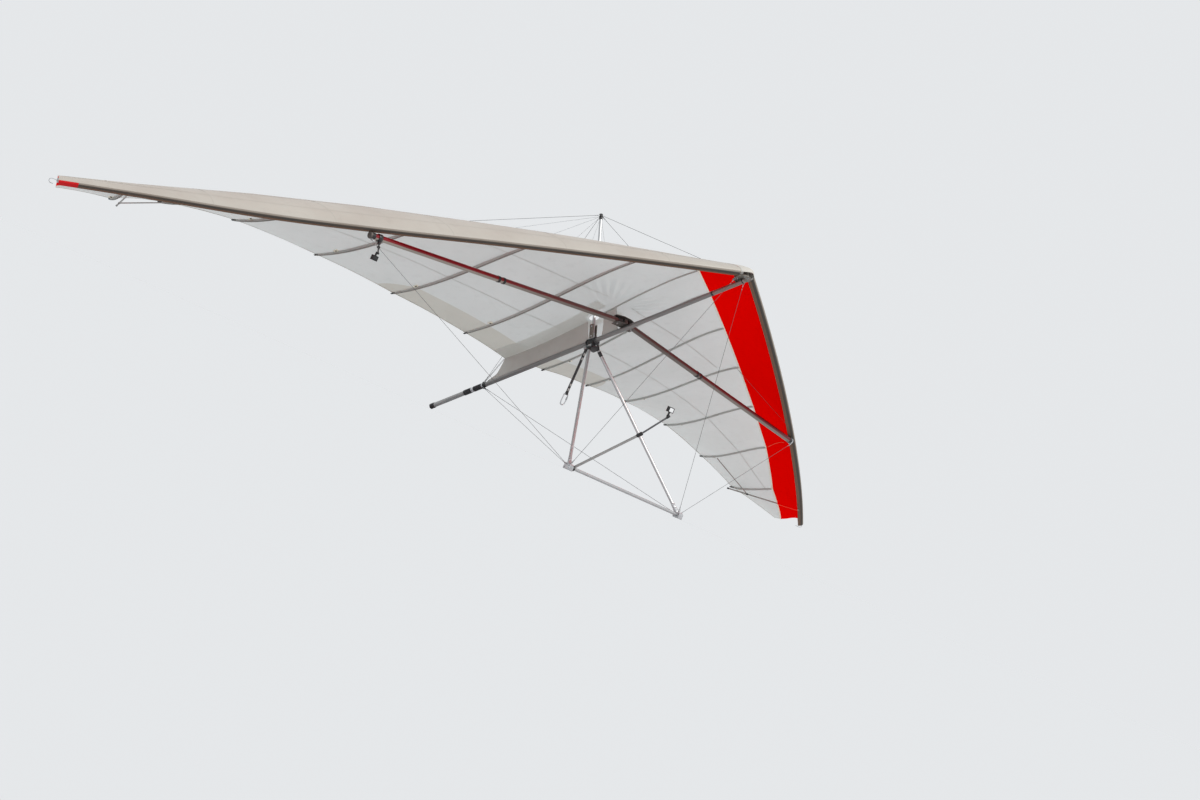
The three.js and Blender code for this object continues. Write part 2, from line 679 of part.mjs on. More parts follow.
// Ends of the lower stays: nose plate, keel and cross-tube ends, each to the corner bracket
const noseFitting = new THREE.Vector3(1690, 62, 25);
const rearLow = new THREE.Vector3(REAR_FITTING_X, 10, -KEEL_RADIUS + 0.2);
const sideLow = CROSS_END.clone()
  .addScaledVector(crossRun.clone().normalize(), 11)
  .add(new THREE.Vector3(0, 0, -(CROSS_RADIUS + 5.6)));
const frontRun = shorten(noseFitting, CORNER, 0, WIRE_SOCKET_DEPTH);
const rearRun = shorten(rearLow, CORNER, 0, WIRE_SOCKET_DEPTH);
const sideRun = shorten(sideLow, CORNER, 0, WIRE_SOCKET_DEPTH);
const blockEnd = CORNER_BLOCK.length / 2;
const blockTop = CORNER_BLOCK.height / 2;
const cornerShape = new THREE.Shape([
  new THREE.Vector2(-blockEnd, -blockTop),
  new THREE.Vector2(blockEnd, -blockTop),
  new THREE.Vector2(blockEnd, blockTop - CORNER_BLOCK.chamfer),
  new THREE.Vector2(blockEnd - CORNER_BLOCK.chamfer, blockTop),
  new THREE.Vector2(CORNER_BLOCK.chamfer - blockEnd, blockTop),
  new THREE.Vector2(-blockEnd, blockTop - CORNER_BLOCK.chamfer),
]);
const collarStart = CORNER.clone().addScaledVector(downRun, -CORNER_COLLAR.start);
const collarEnd = CORNER.clone().addScaledVector(downRun, -CORNER_COLLAR.end);
for (const side of SIDES) {
  const block = new THREE.ExtrudeGeometry(cornerShape, { depth: CORNER_BLOCK.width, bevelEnabled: false })
    .translate(0, 0, -CORNER_BLOCK.width / 2)
    .rotateX(Math.PI / 2)
    .rotateY(PITCH)
    .translate(CORNER.x, CORNER.y * side.sign, CORNER.z);
  const tubeCollar = bar(
    mirrored(collarStart, side.sign),
    mirrored(collarEnd, side.sign),
    CORNER_COLLAR.radius,
    TUBE_SIDES,
  );
  const wireSockets = [frontRun, rearRun, sideRun].map(([from, to]) =>
    socketFor(from, to, WIRE_RADIUS, 8, side.sign));
  const socket = socketFor(downTop, cornerTop, DOWNTUBE_RADIUS, TUBE_SIDES, side.sign);
  add(
    `corner_bracket_${side.name}`,
    cut(join(block, tubeCollar), socket, ...wireSockets),
    material(BLACK, 0.5, 0.1),
  );
}

add(
  'nose_bracket',
  cut(noseBracket, ...SIDES.map((side) => socketFor(...frontRun, WIRE_RADIUS, 8, side.sign))),
  material(STEEL, 0.45, 0.8),
);

// Main stays
const wire = (name, from, to, startCut = 0, endCut = 0) => {
  const [a, b] = shorten(from, to, startCut, endCut);
  add(name, bar(a, b, WIRE_RADIUS, 8), material(STEEL, 0.4, 0.8));
};
wire('top_wire_front', kingHead, noseTop, 22.6, 0);
wire('top_wire_rear', kingHead, new THREE.Vector3(REAR_FITTING_X, 0, KEEL_RADIUS), 29, 2.6);
for (const side of SIDES) {
  const runs = { front: frontRun, rear: rearRun, side: sideRun };
  for (const [run, [from, to]] of Object.entries(runs)) {
    wire(`${run}_wire_${side.name}`, mirrored(from, side.sign), mirrored(to, side.sign));
  }
  wire(`top_wire_${side.name}`, kingHead, mirrored(sideTop, side.sign), 20.2, 0);
}

// Washout strut near each tip, and the diagonal strut in front of it
for (const side of SIDES) {
  const strutRear = new THREE.Vector3(-1701, 4320, 385);
  const strutFront = new THREE.Vector3(-1120, 4750, 85.6);
  const diagonalStart = new THREE.Vector3(-1471, 3862, 504);
  const diagonalEnd = new THREE.Vector3().lerpVectors(strutRear, strutFront, 0.28);
  add(
    `washout_strut_${side.name}`,
    join(
      bar(mirrored(strutRear, side.sign), mirrored(strutFront, side.sign), 7, 8),
      bar(mirrored(diagonalStart, side.sign), mirrored(diagonalEnd, side.sign), 5, 8),
    ),
    material(DULL_GREY, 0.5, 0.5),
  );
}

// Keel pocket: an upright cloth panel between the sail's centre line and the keel
const root = sections[0];
const rootUnder = (x) => root.height((root.front.x - x) / root.chord) - CLOTH - 4;
const keelTop = KEEL_RADIUS + 0.6;
const pocketPanel = (name, outline) => {
  const shape = new THREE.Shape(outline.map(([x, z]) => new THREE.Vector2(x, z)));
  const geometry = new THREE.ExtrudeGeometry(shape, { depth: 2 * CLOTH, bevelEnabled: false })
    .rotateX(Math.PI / 2)
    .translate(0, CLOTH, 0);
  add(name, geometry, material(TAUPE, 0.8, 0));
};
pocketPanel('keel_pocket_rear', [
  [-40, keelTop],
  [-40, rootUnder(-40)],
  ...[-250, -520, -800, -1040].map((x) => [x, rootUnder(x)]),
  [-1075, 150],
  [-1156, 62],
  [-1262, KEEL_RADIUS + 12],
  [-1262, keelTop],
]);
pocketPanel('keel_pocket_front', [
  [300, keelTop],
  [300, rootUnder(300)],
  [150, rootUnder(150)],
  [128, 90],
  [110, keelTop],
]);

// Camera on its pole, clamped to the base bar beside the right corner
const poleY = -(CORNER.y - CORNER_BLOCK.width / 2 - 24);
const poleFoot = new THREE.Vector3(CORNER.x, poleY, CORNER.z);
const poleJoint = new THREE.Vector3(1035, poleY, -1499);
const poleTip = new THREE.Vector3(1356, poleY, -1434);
const POLE_PIN = { radius: 5, length: 30, offset: 18 };
const clampRing = new THREE.LatheGeometry(
  [
    new THREE.Vector2(BASE_BAR_RADIUS + GAP + 0.1, -16),
    new THREE.Vector2(BASE_BAR_RADIUS + 10, -16),
    new THREE.Vector2(BASE_BAR_RADIUS + 10, 16),
    new THREE.Vector2(BASE_BAR_RADIUS + GAP + 0.1, 16),
    new THREE.Vector2(BASE_BAR_RADIUS + GAP + 0.1, -16),
  ],
  16,
).translate(poleFoot.x, poleFoot.y, poleFoot.z);
const [poleStart] = shorten(poleFoot, poleJoint, BASE_BAR_RADIUS + 6, 0);
add(
  'camera_pole',
  join(
    clampRing,
    bar(poleStart, poleJoint, 12, 12),
    bar(poleJoint.clone().add(new THREE.Vector3(-34, 0, -4)), poleJoint.clone().add(new THREE.Vector3(22, 0, 3)), 17, 12),
    bar(poleJoint, poleTip, 8, 10),
    bar(poleTip, poleTip.clone().add(new THREE.Vector3(0, -POLE_PIN.length, 0)), POLE_PIN.radius, 12),
  ),
  material(BLACK, 0.4, 0.3),
);

// The ground attitude turns the glider about the apex
glider.rotation.y = -PITCH;
part.add(glider);
glider.updateMatrixWorld(true);
const parked = (point) => point.clone().applyMatrix4(glider.matrixWorld);

// An eye that turns on a pin: a ring about Y with a body of the given shape fused to it.
const eyeRing = (pinRadius, width, wall) =>
  new THREE.LatheGeometry(
    [
      new THREE.Vector2(pinRadius + 0.5, -width / 2),
      new THREE.Vector2(pinRadius + 0.5 + wall, -width / 2),
      new THREE.Vector2(pinRadius + 0.5 + wall, width / 2),
      new THREE.Vector2(pinRadius + 0.5, width / 2),
      new THREE.Vector2(pinRadius + 0.5, -width / 2),
    ],
    16,
  );

const CAMERA_BODY = { length: 34, width: 62, height: 46, rise: 52, lensRadius: 12, lensReach: 8 };
const cameraHeight = POLE_PIN.radius + CAMERA_BODY.rise;
const lensBack = new THREE.Vector3(0, -CAMERA_BODY.width / 6, cameraHeight);
const lensFront = lensBack.clone();
lensFront.x = -CAMERA_BODY.length / 2 - CAMERA_BODY.lensReach;
const poleCamera = join(
  eyeRing(POLE_PIN.radius, 12, 5),
  box(16, 10, 26, 0, 0, POLE_PIN.radius + 18),
  box(CAMERA_BODY.length, CAMERA_BODY.width, CAMERA_BODY.height, 0, 0, cameraHeight),
  bar(lensBack, lensFront, CAMERA_BODY.lensRadius, TUBE_SIDES),
);
const poleCameraMesh = addTo(part, 'pole_camera', poleCamera, material(0xc9ccd0, 0.4, 0.2));
poleCameraMesh.position.copy(parked(poleTip)).y -= POLE_PIN.offset;

// Wing camera under the right end of the cross tubes
const WING_PIN = { radius: 4, length: 26, offset: 16 };
const mountTop = new THREE.Vector3(CROSS_END.x + 8, -(CROSS_END.y - 90), CROSS_END.z - CROSS_RADIUS + 2);
const mountFoot = mountTop.clone().add(new THREE.Vector3(-18, 0, -110));
const mountRun = new THREE.Vector3().subVectors(mirrored(CROSS_CENTRE, -1), mirrored(CROSS_END, -1)).normalize();
const strapStart = mirrored(CROSS_END, -1).addScaledVector(mountRun, 70);
const strapEnd = mirrored(CROSS_END, -1).addScaledVector(mountRun, 110);
const strapRing = (() => {
  const outer = bar(strapStart, strapEnd, CROSS_RADIUS + 8, 16);
  const inner = bar(
    strapStart.clone().addScaledVector(mountRun, -10),
    strapEnd.clone().addScaledVector(mountRun, 10),
    CROSS_RADIUS + GAP + 0.6,
    16,
  );
  return cut(outer, inner);
})();
add(
  'wing_camera_mount',
  join(
    strapRing,
    bar(mountTop.clone().add(new THREE.Vector3(0, 0, -2)), mountFoot, 7, 10),
    bar(mountFoot, mountFoot.clone().add(new THREE.Vector3(0, -WING_PIN.length, 0)), WING_PIN.radius, 12),
  ),
  material(BLACK, 0.5, 0.1),
);
const wingCamera = join(
  eyeRing(WING_PIN.radius, 10, 4),
  box(12, 8, 20, 0, 0, -(WING_PIN.radius + 14)),
  box(32, 58, 44, 0, 0, -(WING_PIN.radius + 44)),
);
const wingCameraMesh = addTo(part, 'wing_camera', wingCamera, material(BLACK, 0.4, 0.1));
wingCameraMesh.position.copy(parked(mountFoot)).y -= WING_PIN.offset;

// Hang strap: a loop that swings on a pin under the keel, with a carabiner through its lower eye
const HANG = { x: -76, drop: 47, pinRadius: 6, cheek: 5, width: 28, length: 452 };
const hangPin = new THREE.Vector3(HANG.x, 0, -HANG.drop);
const cheekY = HANG.width / 2 + 2 + HANG.cheek / 2;
const cheek = (sign) =>
  box(34, HANG.cheek, 34, HANG.x, sign * cheekY, -HANG.drop + 7.7 + 0.3);
add(
  'hang_bracket',
  join(
    box(34, 2 * cheekY + HANG.cheek, 5, HANG.x, 0, -KEEL_RADIUS - GAP - 2.5),
    cheek(1),
    cheek(-1),
    bar(new THREE.Vector3(HANG.x, -cheekY, -HANG.drop), new THREE.Vector3(HANG.x, cheekY, -HANG.drop),
      HANG.pinRadius, 12),
  ),
  material(STEEL, 0.4, 0.8),
);
const strap = join(
  eyeRing(HANG.pinRadius, HANG.width, 4),
  box(7, HANG.width, HANG.length - 18, 0, 0, -HANG.length / 2),
  eyeRing(HANG.pinRadius, HANG.width, 4).translate(0, 0, -HANG.length),
);
const strapMesh = addTo(part, 'hang_strap', strap, material(BLACK, 0.85, 0));
strapMesh.position.copy(parked(hangPin));

// Carabiner: a round bar bent into a loop with four round corners
const CARABINER = { halfWidth: 25.5, drop: 105, corner: 10.5, barRadius: 5.6, cornerSteps: 4, sides: 8 };
const carabinerBends = [0, 1, 2, 3].flatMap((quarter) =>
  Array.from({ length: CARABINER.cornerSteps + 1 }, (_, step) => {
    const angle = ((quarter + step / CARABINER.cornerSteps) * Math.PI) / 2;
    const out = new THREE.Vector3(0, Math.cos(angle), Math.sin(angle));
    const bendY = (CARABINER.halfWidth - CARABINER.corner) * (quarter % 3 === 0 ? 1 : -1);
    const bendZ = quarter < 2 ? -CARABINER.corner : CARABINER.corner - CARABINER.drop;
    return { out, middle: new THREE.Vector3(0, bendY, bendZ).addScaledVector(out, CARABINER.corner) };
  }),
);
const carabinerRings = carabinerBends.map(({ out, middle }) =>
  Array.from({ length: CARABINER.sides }, (_, index) => {
    const angle = ((index + 0.5) * 2 * Math.PI) / CARABINER.sides;
    const across = new THREE.Vector3(-CARABINER.barRadius * Math.sin(angle), 0, 0);
    return middle.clone().addScaledVector(out, CARABINER.barRadius * Math.cos(angle)).add(across);
  }),
);
const carabiner = closedLoft(carabinerRings);
const carabinerMesh = addTo(part, 'carabiner', carabiner, material(0xb9bcc0, 0.3, 0.9));
carabinerMesh.position.copy(parked(hangPin).add(new THREE.Vector3(0, 0, -HANG.length)));

// Origin: the middle of the footprint, on the floor
part.updateMatrixWorld(true);
const extent = new THREE.Box3().setFromObject(part, true);
const centre = extent.getCenter(new THREE.Vector3());
part.position.set(-centre.x, -centre.y, -extent.min.z);
part.updateMatrixWorld(true);

export default part;
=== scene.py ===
# Tandem hang glider, dressed: cloth, tubes, fittings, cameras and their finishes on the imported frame.
# Shapes are drawn in millimetres in the glider's own frame (origin at the control-frame apex on the
# keel axis, +X nose, +Y left, +Z up) and turned by row() into the row frame, in metres. Only what
# moves on a joint is drawn in millimetres of the row frame itself.
import math

import bmesh
import bpy
import numpy as np
from mathutils import Matrix, Vector


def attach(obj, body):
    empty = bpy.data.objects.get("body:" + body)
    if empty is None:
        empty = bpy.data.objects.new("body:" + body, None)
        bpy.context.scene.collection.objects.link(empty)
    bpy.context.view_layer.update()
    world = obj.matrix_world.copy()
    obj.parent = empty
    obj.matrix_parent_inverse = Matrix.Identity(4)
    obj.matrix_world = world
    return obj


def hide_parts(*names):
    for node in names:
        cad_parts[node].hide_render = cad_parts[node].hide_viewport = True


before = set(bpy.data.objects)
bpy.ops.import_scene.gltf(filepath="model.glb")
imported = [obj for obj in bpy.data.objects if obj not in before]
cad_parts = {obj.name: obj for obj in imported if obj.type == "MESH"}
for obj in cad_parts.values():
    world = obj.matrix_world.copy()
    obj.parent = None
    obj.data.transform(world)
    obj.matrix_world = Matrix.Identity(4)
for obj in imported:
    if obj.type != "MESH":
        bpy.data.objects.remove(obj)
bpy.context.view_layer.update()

# Ground attitude, the place of the glider's origin in the row frame, and the level axes in its own
PITCH = math.radians(35.09832976680164)
ORIGIN = (-0.12186, 0.0, 1.16319)
MM = 1000
X, Y, Z = np.eye(3)
LEVEL = np.array([(math.cos(PITCH), 0, -math.sin(PITCH)), Y, (math.sin(PITCH), 0, math.cos(PITCH))])
SIDES = (("left", 1), ("right", -1))


def vec(v):
    return np.asarray(v, float)


def unit(v):
    return vec(v) / np.linalg.norm(v)


def lerp(a, b, share):
    return vec(a) + (vec(b) - vec(a)) * share


def flipped(points, sign):
    """Points drawn for the left side, taken to the right side when the sign is negative."""
    return vec(points) * (1, sign, 1)


def row(points):
    """Glider millimetres to row metres."""
    return vec(points) / MM @ LEVEL.T + ORIGIN


def arc(first, last, steps):
    """(cos, sin) at even steps from one angle to another, in degrees."""
    turn = np.radians(np.linspace(first, last, steps))
    return np.stack([np.cos(turn), np.sin(turn)], 1)


def add(name, data):
    """Puts a mesh, light or camera into the scene."""
    thing = bpy.data.objects.new(name, data)
    bpy.context.scene.collection.objects.link(thing)
    return thing


# Camera: at floor level, ahead of the glider and off its right side, rolled as the photograph banks
CAMERA_PLACE = (21.0884894, -21.3401131, 0.002)
CAMERA_TURN = (1.28687925, 0.87159774, -0.28130329)
FOCAL_PIXELS = 3290.95
FRAME_WIDTH = 1200
SENSOR = 36.0


def make_camera():
    turn = Vector(CAMERA_TURN)
    right, down, forward = Matrix.Rotation(turn.length, 3, turn.normalized())
    data = bpy.data.cameras.new("camera")
    data.sensor_width = SENSOR
    data.lens = FOCAL_PIXELS / FRAME_WIDTH * SENSOR
    data.clip_start, data.clip_end = 0.002, 900
    camera = add("camera", data)
    axes = Matrix((right, -down, -forward)).transposed()
    camera.matrix_world = Matrix.Translation(CAMERA_PLACE) @ axes.to_4x4()
    bpy.context.scene.camera = camera


make_camera()


class Look:
    """A procedural material: layers of noise and bands feed one Principled shader."""

    def __init__(self, name, slot, rough, metal=0.0, coords="UV"):
        self.mat = bpy.data.materials.new(name)
        self.mat.use_nodes = True
        self.tree = self.mat.node_tree
        self.tree.nodes.clear()
        self.out = self.node("OutputMaterial")
        self.shader = self.node("BsdfPrincipled", {"Roughness": rough, "Metallic": metal})
        self.fill(self.out, {0: self.shader.outputs[0]})
        self.coords = self.node("TexCoord").outputs[coords]
        self.bumps = None

    def node(self, kind, inputs=None, **settings):
        """Adds a shader node: its own settings first, then its inputs."""
        n = self.tree.nodes.new("ShaderNode" + kind)
        for key, value in settings.items():
            setattr(n, key, value)
        self.fill(n, inputs or {})
        return n

    def fill(self, node, inputs):
        """Gives inputs, by name or number, a link or a value."""
        for key, value in inputs.items():
            socket = node.inputs[key]
            if isinstance(value, bpy.types.NodeSocket):
                self.tree.links.new(value, socket)
            elif isinstance(value, tuple) and len(value) == 3 and len(socket.default_value) == 4:
                socket.default_value = (*value, 1)
            else:
                socket.default_value = value

    def noise(self, scale, detail=3.0, rough=0.55, stretch=(1, 1, 1)):
        where = self.node("Mapping", {0: self.coords, "Scale": stretch}).outputs[0]
        inputs = {"Vector": where, "Scale": scale, "Detail": detail, "Roughness": rough}
        return self.node("TexNoise", inputs).outputs["Fac"]

    def along(self, direction):
        """One coordinate: with UVs, 0 runs along the piece and 1 across it."""
        return self.node("SeparateXYZ", {0: self.coords}).outputs[direction]

    def math(self, kind, a, b=0.0):
        return self.node("Math", {0: a, 1: b}, operation=kind).outputs[0]

    def times(self, a, b):
        return self.math("MULTIPLY", a, b)

    def ramp(self, value, low, high):
        inputs = {"Value": value, "From Min": low, "From Max": high}
        return self.node("MapRange", inputs, interpolation_type="SMOOTHSTEP").outputs[0]

    def mix(self, share, a, b):
        return self.node("Mix", {0: share, 6: a, 7: b}, data_type="RGBA").outputs[2]

    def striped(self, base, direction, stripes):
        """Base colour that turns into each tint in turn, between two places along an axis."""
        shown = base
        for low, high, tint in stripes:
            shown = self.mix(self.ramp(self.along(direction), low, high), shown, tint)
        return shown

    def bands(self, period, direction, sharp=1.0):
        """Even bands across an axis: 1 at the middle of each band, to 0 between them."""
        turned = self.times(self.along(direction), math.pi / period)
        wave = self.math("ABSOLUTE", self.math("SINE", turned))
        return self.math("POWER", wave, sharp)

    def bump(self, height, strength, distance):
        inputs = {"Height": height, "Strength": strength, "Distance": distance}
        if self.bumps is not None:
            inputs["Normal"] = self.bumps
        self.bumps = self.node("Bump", inputs).outputs[0]

    def done(self, through=None, **inputs):
        """Finished material. A share of the light comes through thin cloth from behind."""
        named = {key.replace("_", " "): value for key, value in inputs.items()}
        self.fill(self.shader, named)
        if self.bumps is not None:
            self.fill(self.shader, {"Normal": self.bumps})
        if through:
            thin = self.node("BsdfTranslucent", {"Color": inputs["Base_Color"], "Normal": self.bumps})
            both = self.node("MixShader", {0: through, 1: self.shader.outputs[0], 2: thin.outputs[0]})
            self.fill(self.out, {0: both.outputs[0]})
        return self.mat


THREADS = 0.0095
ALONG_TUBE = (3, 420, 1)
DUST = (0.3, 0.29, 0.27)


def cloth_look(name, base, soiled, through=None, slot="taupe_cloth", rough=0.72, grid_dark=0.9,
               patchy=0.5, sheen=0.12, gloss=0.5, stripes=()):
    """Woven sailcloth: a fine cross-laid grid, soft soiling, faint creases and a slight sheen."""
    k = Look(name, slot, rough)
    tone = k.ramp(k.noise(1.6, 4), 0.32, 0.74)
    spots = k.ramp(k.noise(11, 3), 0.52, 0.78)
    cloth = k.mix(k.times(tone, patchy), k.striped(base, 1, stripes), soiled)
    cloth = k.mix(k.times(spots, 0.22), cloth, tuple(0.82 * c for c in soiled))
    threads = k.math("MAXIMUM", k.bands(THREADS, 0, 18), k.bands(THREADS, 1, 18))
    shown = k.mix(k.times(threads, 0.35), cloth, tuple(grid_dark * c for c in base))
    k.bump(k.noise(7, 5, 0.6), 0.35, 0.006)
    k.bump(threads, 0.18, 0.0004)
    return k.done(through, Base_Color=shown, Roughness=k.math("ADD", k.times(tone, 0.1), rough - 0.05),
                  Specular_IOR_Level=gloss, Sheen_Weight=sheen, Sheen_Roughness=0.4)


def metal_look(name, base, shade, rough, metal, grain=None, slot="dull_aluminium", worn=None, stripes=()):
    """Metal with handling marks and uneven gloss: streaks along a tube, or an even grain."""
    k = Look(name, slot, rough, metal, "Object" if grain else "UV")
    streaks = k.noise(1.0, 3, 0.6, (grain, grain, grain) if grain else ALONG_TUBE)
    marks = k.ramp(k.noise(6, 5), 0.5, 0.72)
    shown = k.mix(k.times(k.ramp(streaks, 0.3, 0.7), 0.7), k.striped(base, 0, stripes), shade)
    if worn:
        shown = k.mix(k.ramp(k.noise(26, 4), 0.64, 0.7), shown, worn)
    k.bump(streaks, 0.03, 0.0002)
    return k.done(Base_Color=shown, Roughness=k.math("ADD", k.times(marks, 0.12), rough - 0.04))


def moulded_look(name, base, rough, grain=900.0, slot="black_plastic"):
    """Moulded plastic or rubber: fine grain, a little dust and uneven gloss."""
    k = Look(name, slot, rough, coords="Object")
    dusty = k.times(k.ramp(k.noise(38, 4), 0.55, 0.85), 0.25)
    k.bump(k.noise(grain, 2), 0.12, 0.0003)
    return k.done(Base_Color=k.mix(dusty, base, DUST), Roughness=k.math("ADD", dusty, rough))


def webbing_look(name, base, edge):
    """Woven strap: ribs across, twill along, dusty high threads."""
    k = Look(name, "black_webbing", 0.85)
    weave = k.times(k.bands(0.0026, 0), k.bands(0.0017, 1))
    shown = k.mix(k.times(weave, 0.5), base, edge)
    dusty = k.times(k.ramp(k.noise(30, 3), 0.5, 0.8), 0.35)
    k.bump(weave, 0.5, 0.0008)
    return k.done(Base_Color=k.mix(dusty, shown, edge), Sheen_Weight=0.3)


def cross_tube_look(name, shade):
    """Red anodised tube, its underside painted grey-brown as shade; both dull towards mid-span. The shade
    share paints the whole tube darker, as shade.
    """
    k = Look(name, "red_anodised", 0.34, 0.45)
    around = k.along(1)
    # Painted shade: between these two places round the tube, the underside is grey-brown instead of red
    below = k.times(k.ramp(around, 0.101, 0.111), k.ramp(around, 0.152, 0.144))
    outboard = k.ramp(k.along(0), 0.35, 1.9)
    red = k.mix(outboard, (0.115, 0.048, 0.043), (0.205, 0.008, 0.014))
    streaks = k.noise(1.0, 3, 0.6, ALONG_TUBE)
    underside_shade = k.mix(outboard, (0.175, 0.145, 0.125), (0.36, 0.325, 0.28))
    grey = k.mix(k.times(k.ramp(streaks, 0.3, 0.7), 0.4), underside_shade, (0.145, 0.12, 0.11))
    k.bump(streaks, 0.05, 0.0003)
    return k.done(Base_Color=k.mix(shade, k.mix(below, red, grey), (0.02, 0.012, 0.01)),
                  Roughness=k.math("ADD", k.times(k.noise(9, 4), 0.15), 0.26))


def paint_look(name, colour):
    k = Look(name, None, 1.0, coords="Object")
    cloud = k.times(k.noise(0.6, 3), 0.04)
    return k.done(Base_Color=k.mix(cloud, colour, tuple(0.9 * c for c in colour)), Specular_IOR_Level=0.0)


WHITE = cloth_look("sailcloth_white", (0.70, 0.718, 0.712), (0.62, 0.636, 0.62), 0.41, "white_cloth")
BAND = cloth_look("sailcloth_band", (0.62, 0.61, 0.56), (0.56, 0.545, 0.495), 0.36, "cream_cloth")
ROOT_CLOTH = cloth_look("sailcloth_root", (0.80, 0.805, 0.77), (0.72, 0.725, 0.69), 0.36)
SEAM = cloth_look("seam_tape", (0.64, 0.645, 0.62), (0.57, 0.57, 0.54), 0.3)
PALE_SEAM = cloth_look("pale_seam", (0.95, 0.92, 0.78), (0.88, 0.84, 0.68), 0.1, "cream_cloth", sheen=0.0)
CREAM = cloth_look("mylar_cream", (0.52, 0.485, 0.435), (0.44, 0.385, 0.34), 0.14, "cream_cloth",
                   rough=0.5, patchy=0.75)
EDGE_SEAM = cloth_look("edge_seam", (0.46, 0.425, 0.38), (0.40, 0.36, 0.31), rough=0.6)
RED = cloth_look("sailcloth_red", (1.0, 0.001, 0.0), (0.96, 0.001, 0.0), 0.04, "red_cloth",
                 grid_dark=0.94, patchy=0.4, sheen=0.0, gloss=0.0)
RED_PATCH = cloth_look("red_patch", (0.58, 0.008, 0.012), (0.45, 0.006, 0.010), sheen=0.0, gloss=0.2)
RED_SEAM = cloth_look("red_seam", (0.95, 0.16, 0.08), (0.80, 0.10, 0.05), sheen=0.0)
# Dark strip under the leading-edge tube: a darker cloth made darker still as painted shade. Its stripes paint
# the round tube's shading: brown behind the bottom, near-black along the bottom, then a lighter band as it
# rounds up to the front.
STRIP = cloth_look("edge_strip", (0.165, 0.098, 0.064), (0.11, 0.075, 0.055), rough=0.8, patchy=0.35,
                   sheen=0.0, gloss=0.2,
                   stripes=((0.028, 0.036, (0.050, 0.050, 0.047)), (0.062, 0.070, (0.30, 0.27, 0.235))))
POCKET = cloth_look("batten_pocket", (0.53, 0.535, 0.51), (0.46, 0.46, 0.44), 0.25, rough=0.8)
PALE_POCKET = cloth_look("batten_pocket_pale", (0.62, 0.625, 0.60), (0.55, 0.55, 0.525), 0.3, rough=0.8)
# Dark copy of the pocket cloth: painted shade on the lower faces of the right wing's pockets
POCKET_SHADE = cloth_look("batten_pocket_shade", (0.27, 0.265, 0.245), (0.22, 0.215, 0.20), rough=0.8)
KEEL_CLOTH = cloth_look("keel_pocket", (0.49, 0.485, 0.455), (0.40, 0.39, 0.36), 0.2, rough=0.75)
NOSE_CLOTH = cloth_look("nose_cap", (0.60, 0.575, 0.53), (0.50, 0.47, 0.42), 0.1, "cream_cloth",
                        rough=0.55, patchy=0.7)
POLISHED = metal_look("polished_tube", (0.52, 0.525, 0.53), (0.44, 0.445, 0.455), 0.44, 0.9,
                      slot="polished_aluminium")
KEEL_ALLOY = metal_look("keel_alloy", (0.42, 0.42, 0.415), (0.20, 0.195, 0.19), 0.38, 0.7,
                        stripes=((0.62, 0.66, (0.25, 0.245, 0.24)), (3.366, 3.370, (0.27, 0.19, 0.165))))
POLE_ALLOY = metal_look("pole_alloy", (0.40, 0.40, 0.39), (0.30, 0.30, 0.295), 0.4, 0.6)
DARK_TUBE = metal_look("dark_alloy", (0.16, 0.16, 0.165), (0.11, 0.11, 0.115), 0.4, 0.6)
DARK_PLATE = metal_look("dark_anodised", (0.095, 0.08, 0.07), (0.065, 0.055, 0.05), 0.55, 0.3, 60,
                        "black_plastic", worn=(0.22, 0.2, 0.18))
NOSE_ALLOY = metal_look("nose_plate_alloy", (0.20, 0.18, 0.155), (0.13, 0.12, 0.105), 0.5, 0.4, 60,
                        "steel", worn=(0.30, 0.28, 0.25))
STRUT = metal_look("strut_alloy", (0.36, 0.345, 0.32), (0.26, 0.25, 0.235), 0.45, 0.6)
FITTING = metal_look("fitting_alloy", (0.58, 0.59, 0.60), (0.44, 0.45, 0.47), 0.34, 0.85, 60,
                     "polished_aluminium")
STEEL = metal_look("stainless", (0.42, 0.43, 0.44), (0.30, 0.31, 0.32), 0.36, 1.0, 80, "steel")
WIRE = metal_look("stay_wire", (0.085, 0.084, 0.085), (0.055, 0.055, 0.056), 0.6, 0.3, 300, "steel")
BLACK = moulded_look("black_plastic", (0.012, 0.012, 0.013), 0.42)
RUBBER = moulded_look("black_sleeve", (0.018, 0.018, 0.02), 0.7, 500.0)
DARK_LENS = moulded_look("camera_glass", (0.01, 0.012, 0.02), 0.06, 50.0)
PALE_PLASTIC = moulded_look("pale_plastic", (0.72, 0.73, 0.74), 0.35, slot="grey_plastic")
WEBBING = webbing_look("black_webbing", (0.012, 0.012, 0.013), (0.06, 0.06, 0.062))
STITCH = webbing_look("stitching", (0.45, 0.44, 0.42), (0.3, 0.3, 0.28))
# The left tube is painted darker all over (shade 0.32), as shade; the right one is not
CROSS = {"left": cross_tube_look("cross_tube_left", 0.32), "right": cross_tube_look("cross_tube_right", 0.0)}


# Shapes
SHARP_ANGLE = math.radians(38)


def circle(sides):
    return arc(0, 360, sides + 1)[:-1]


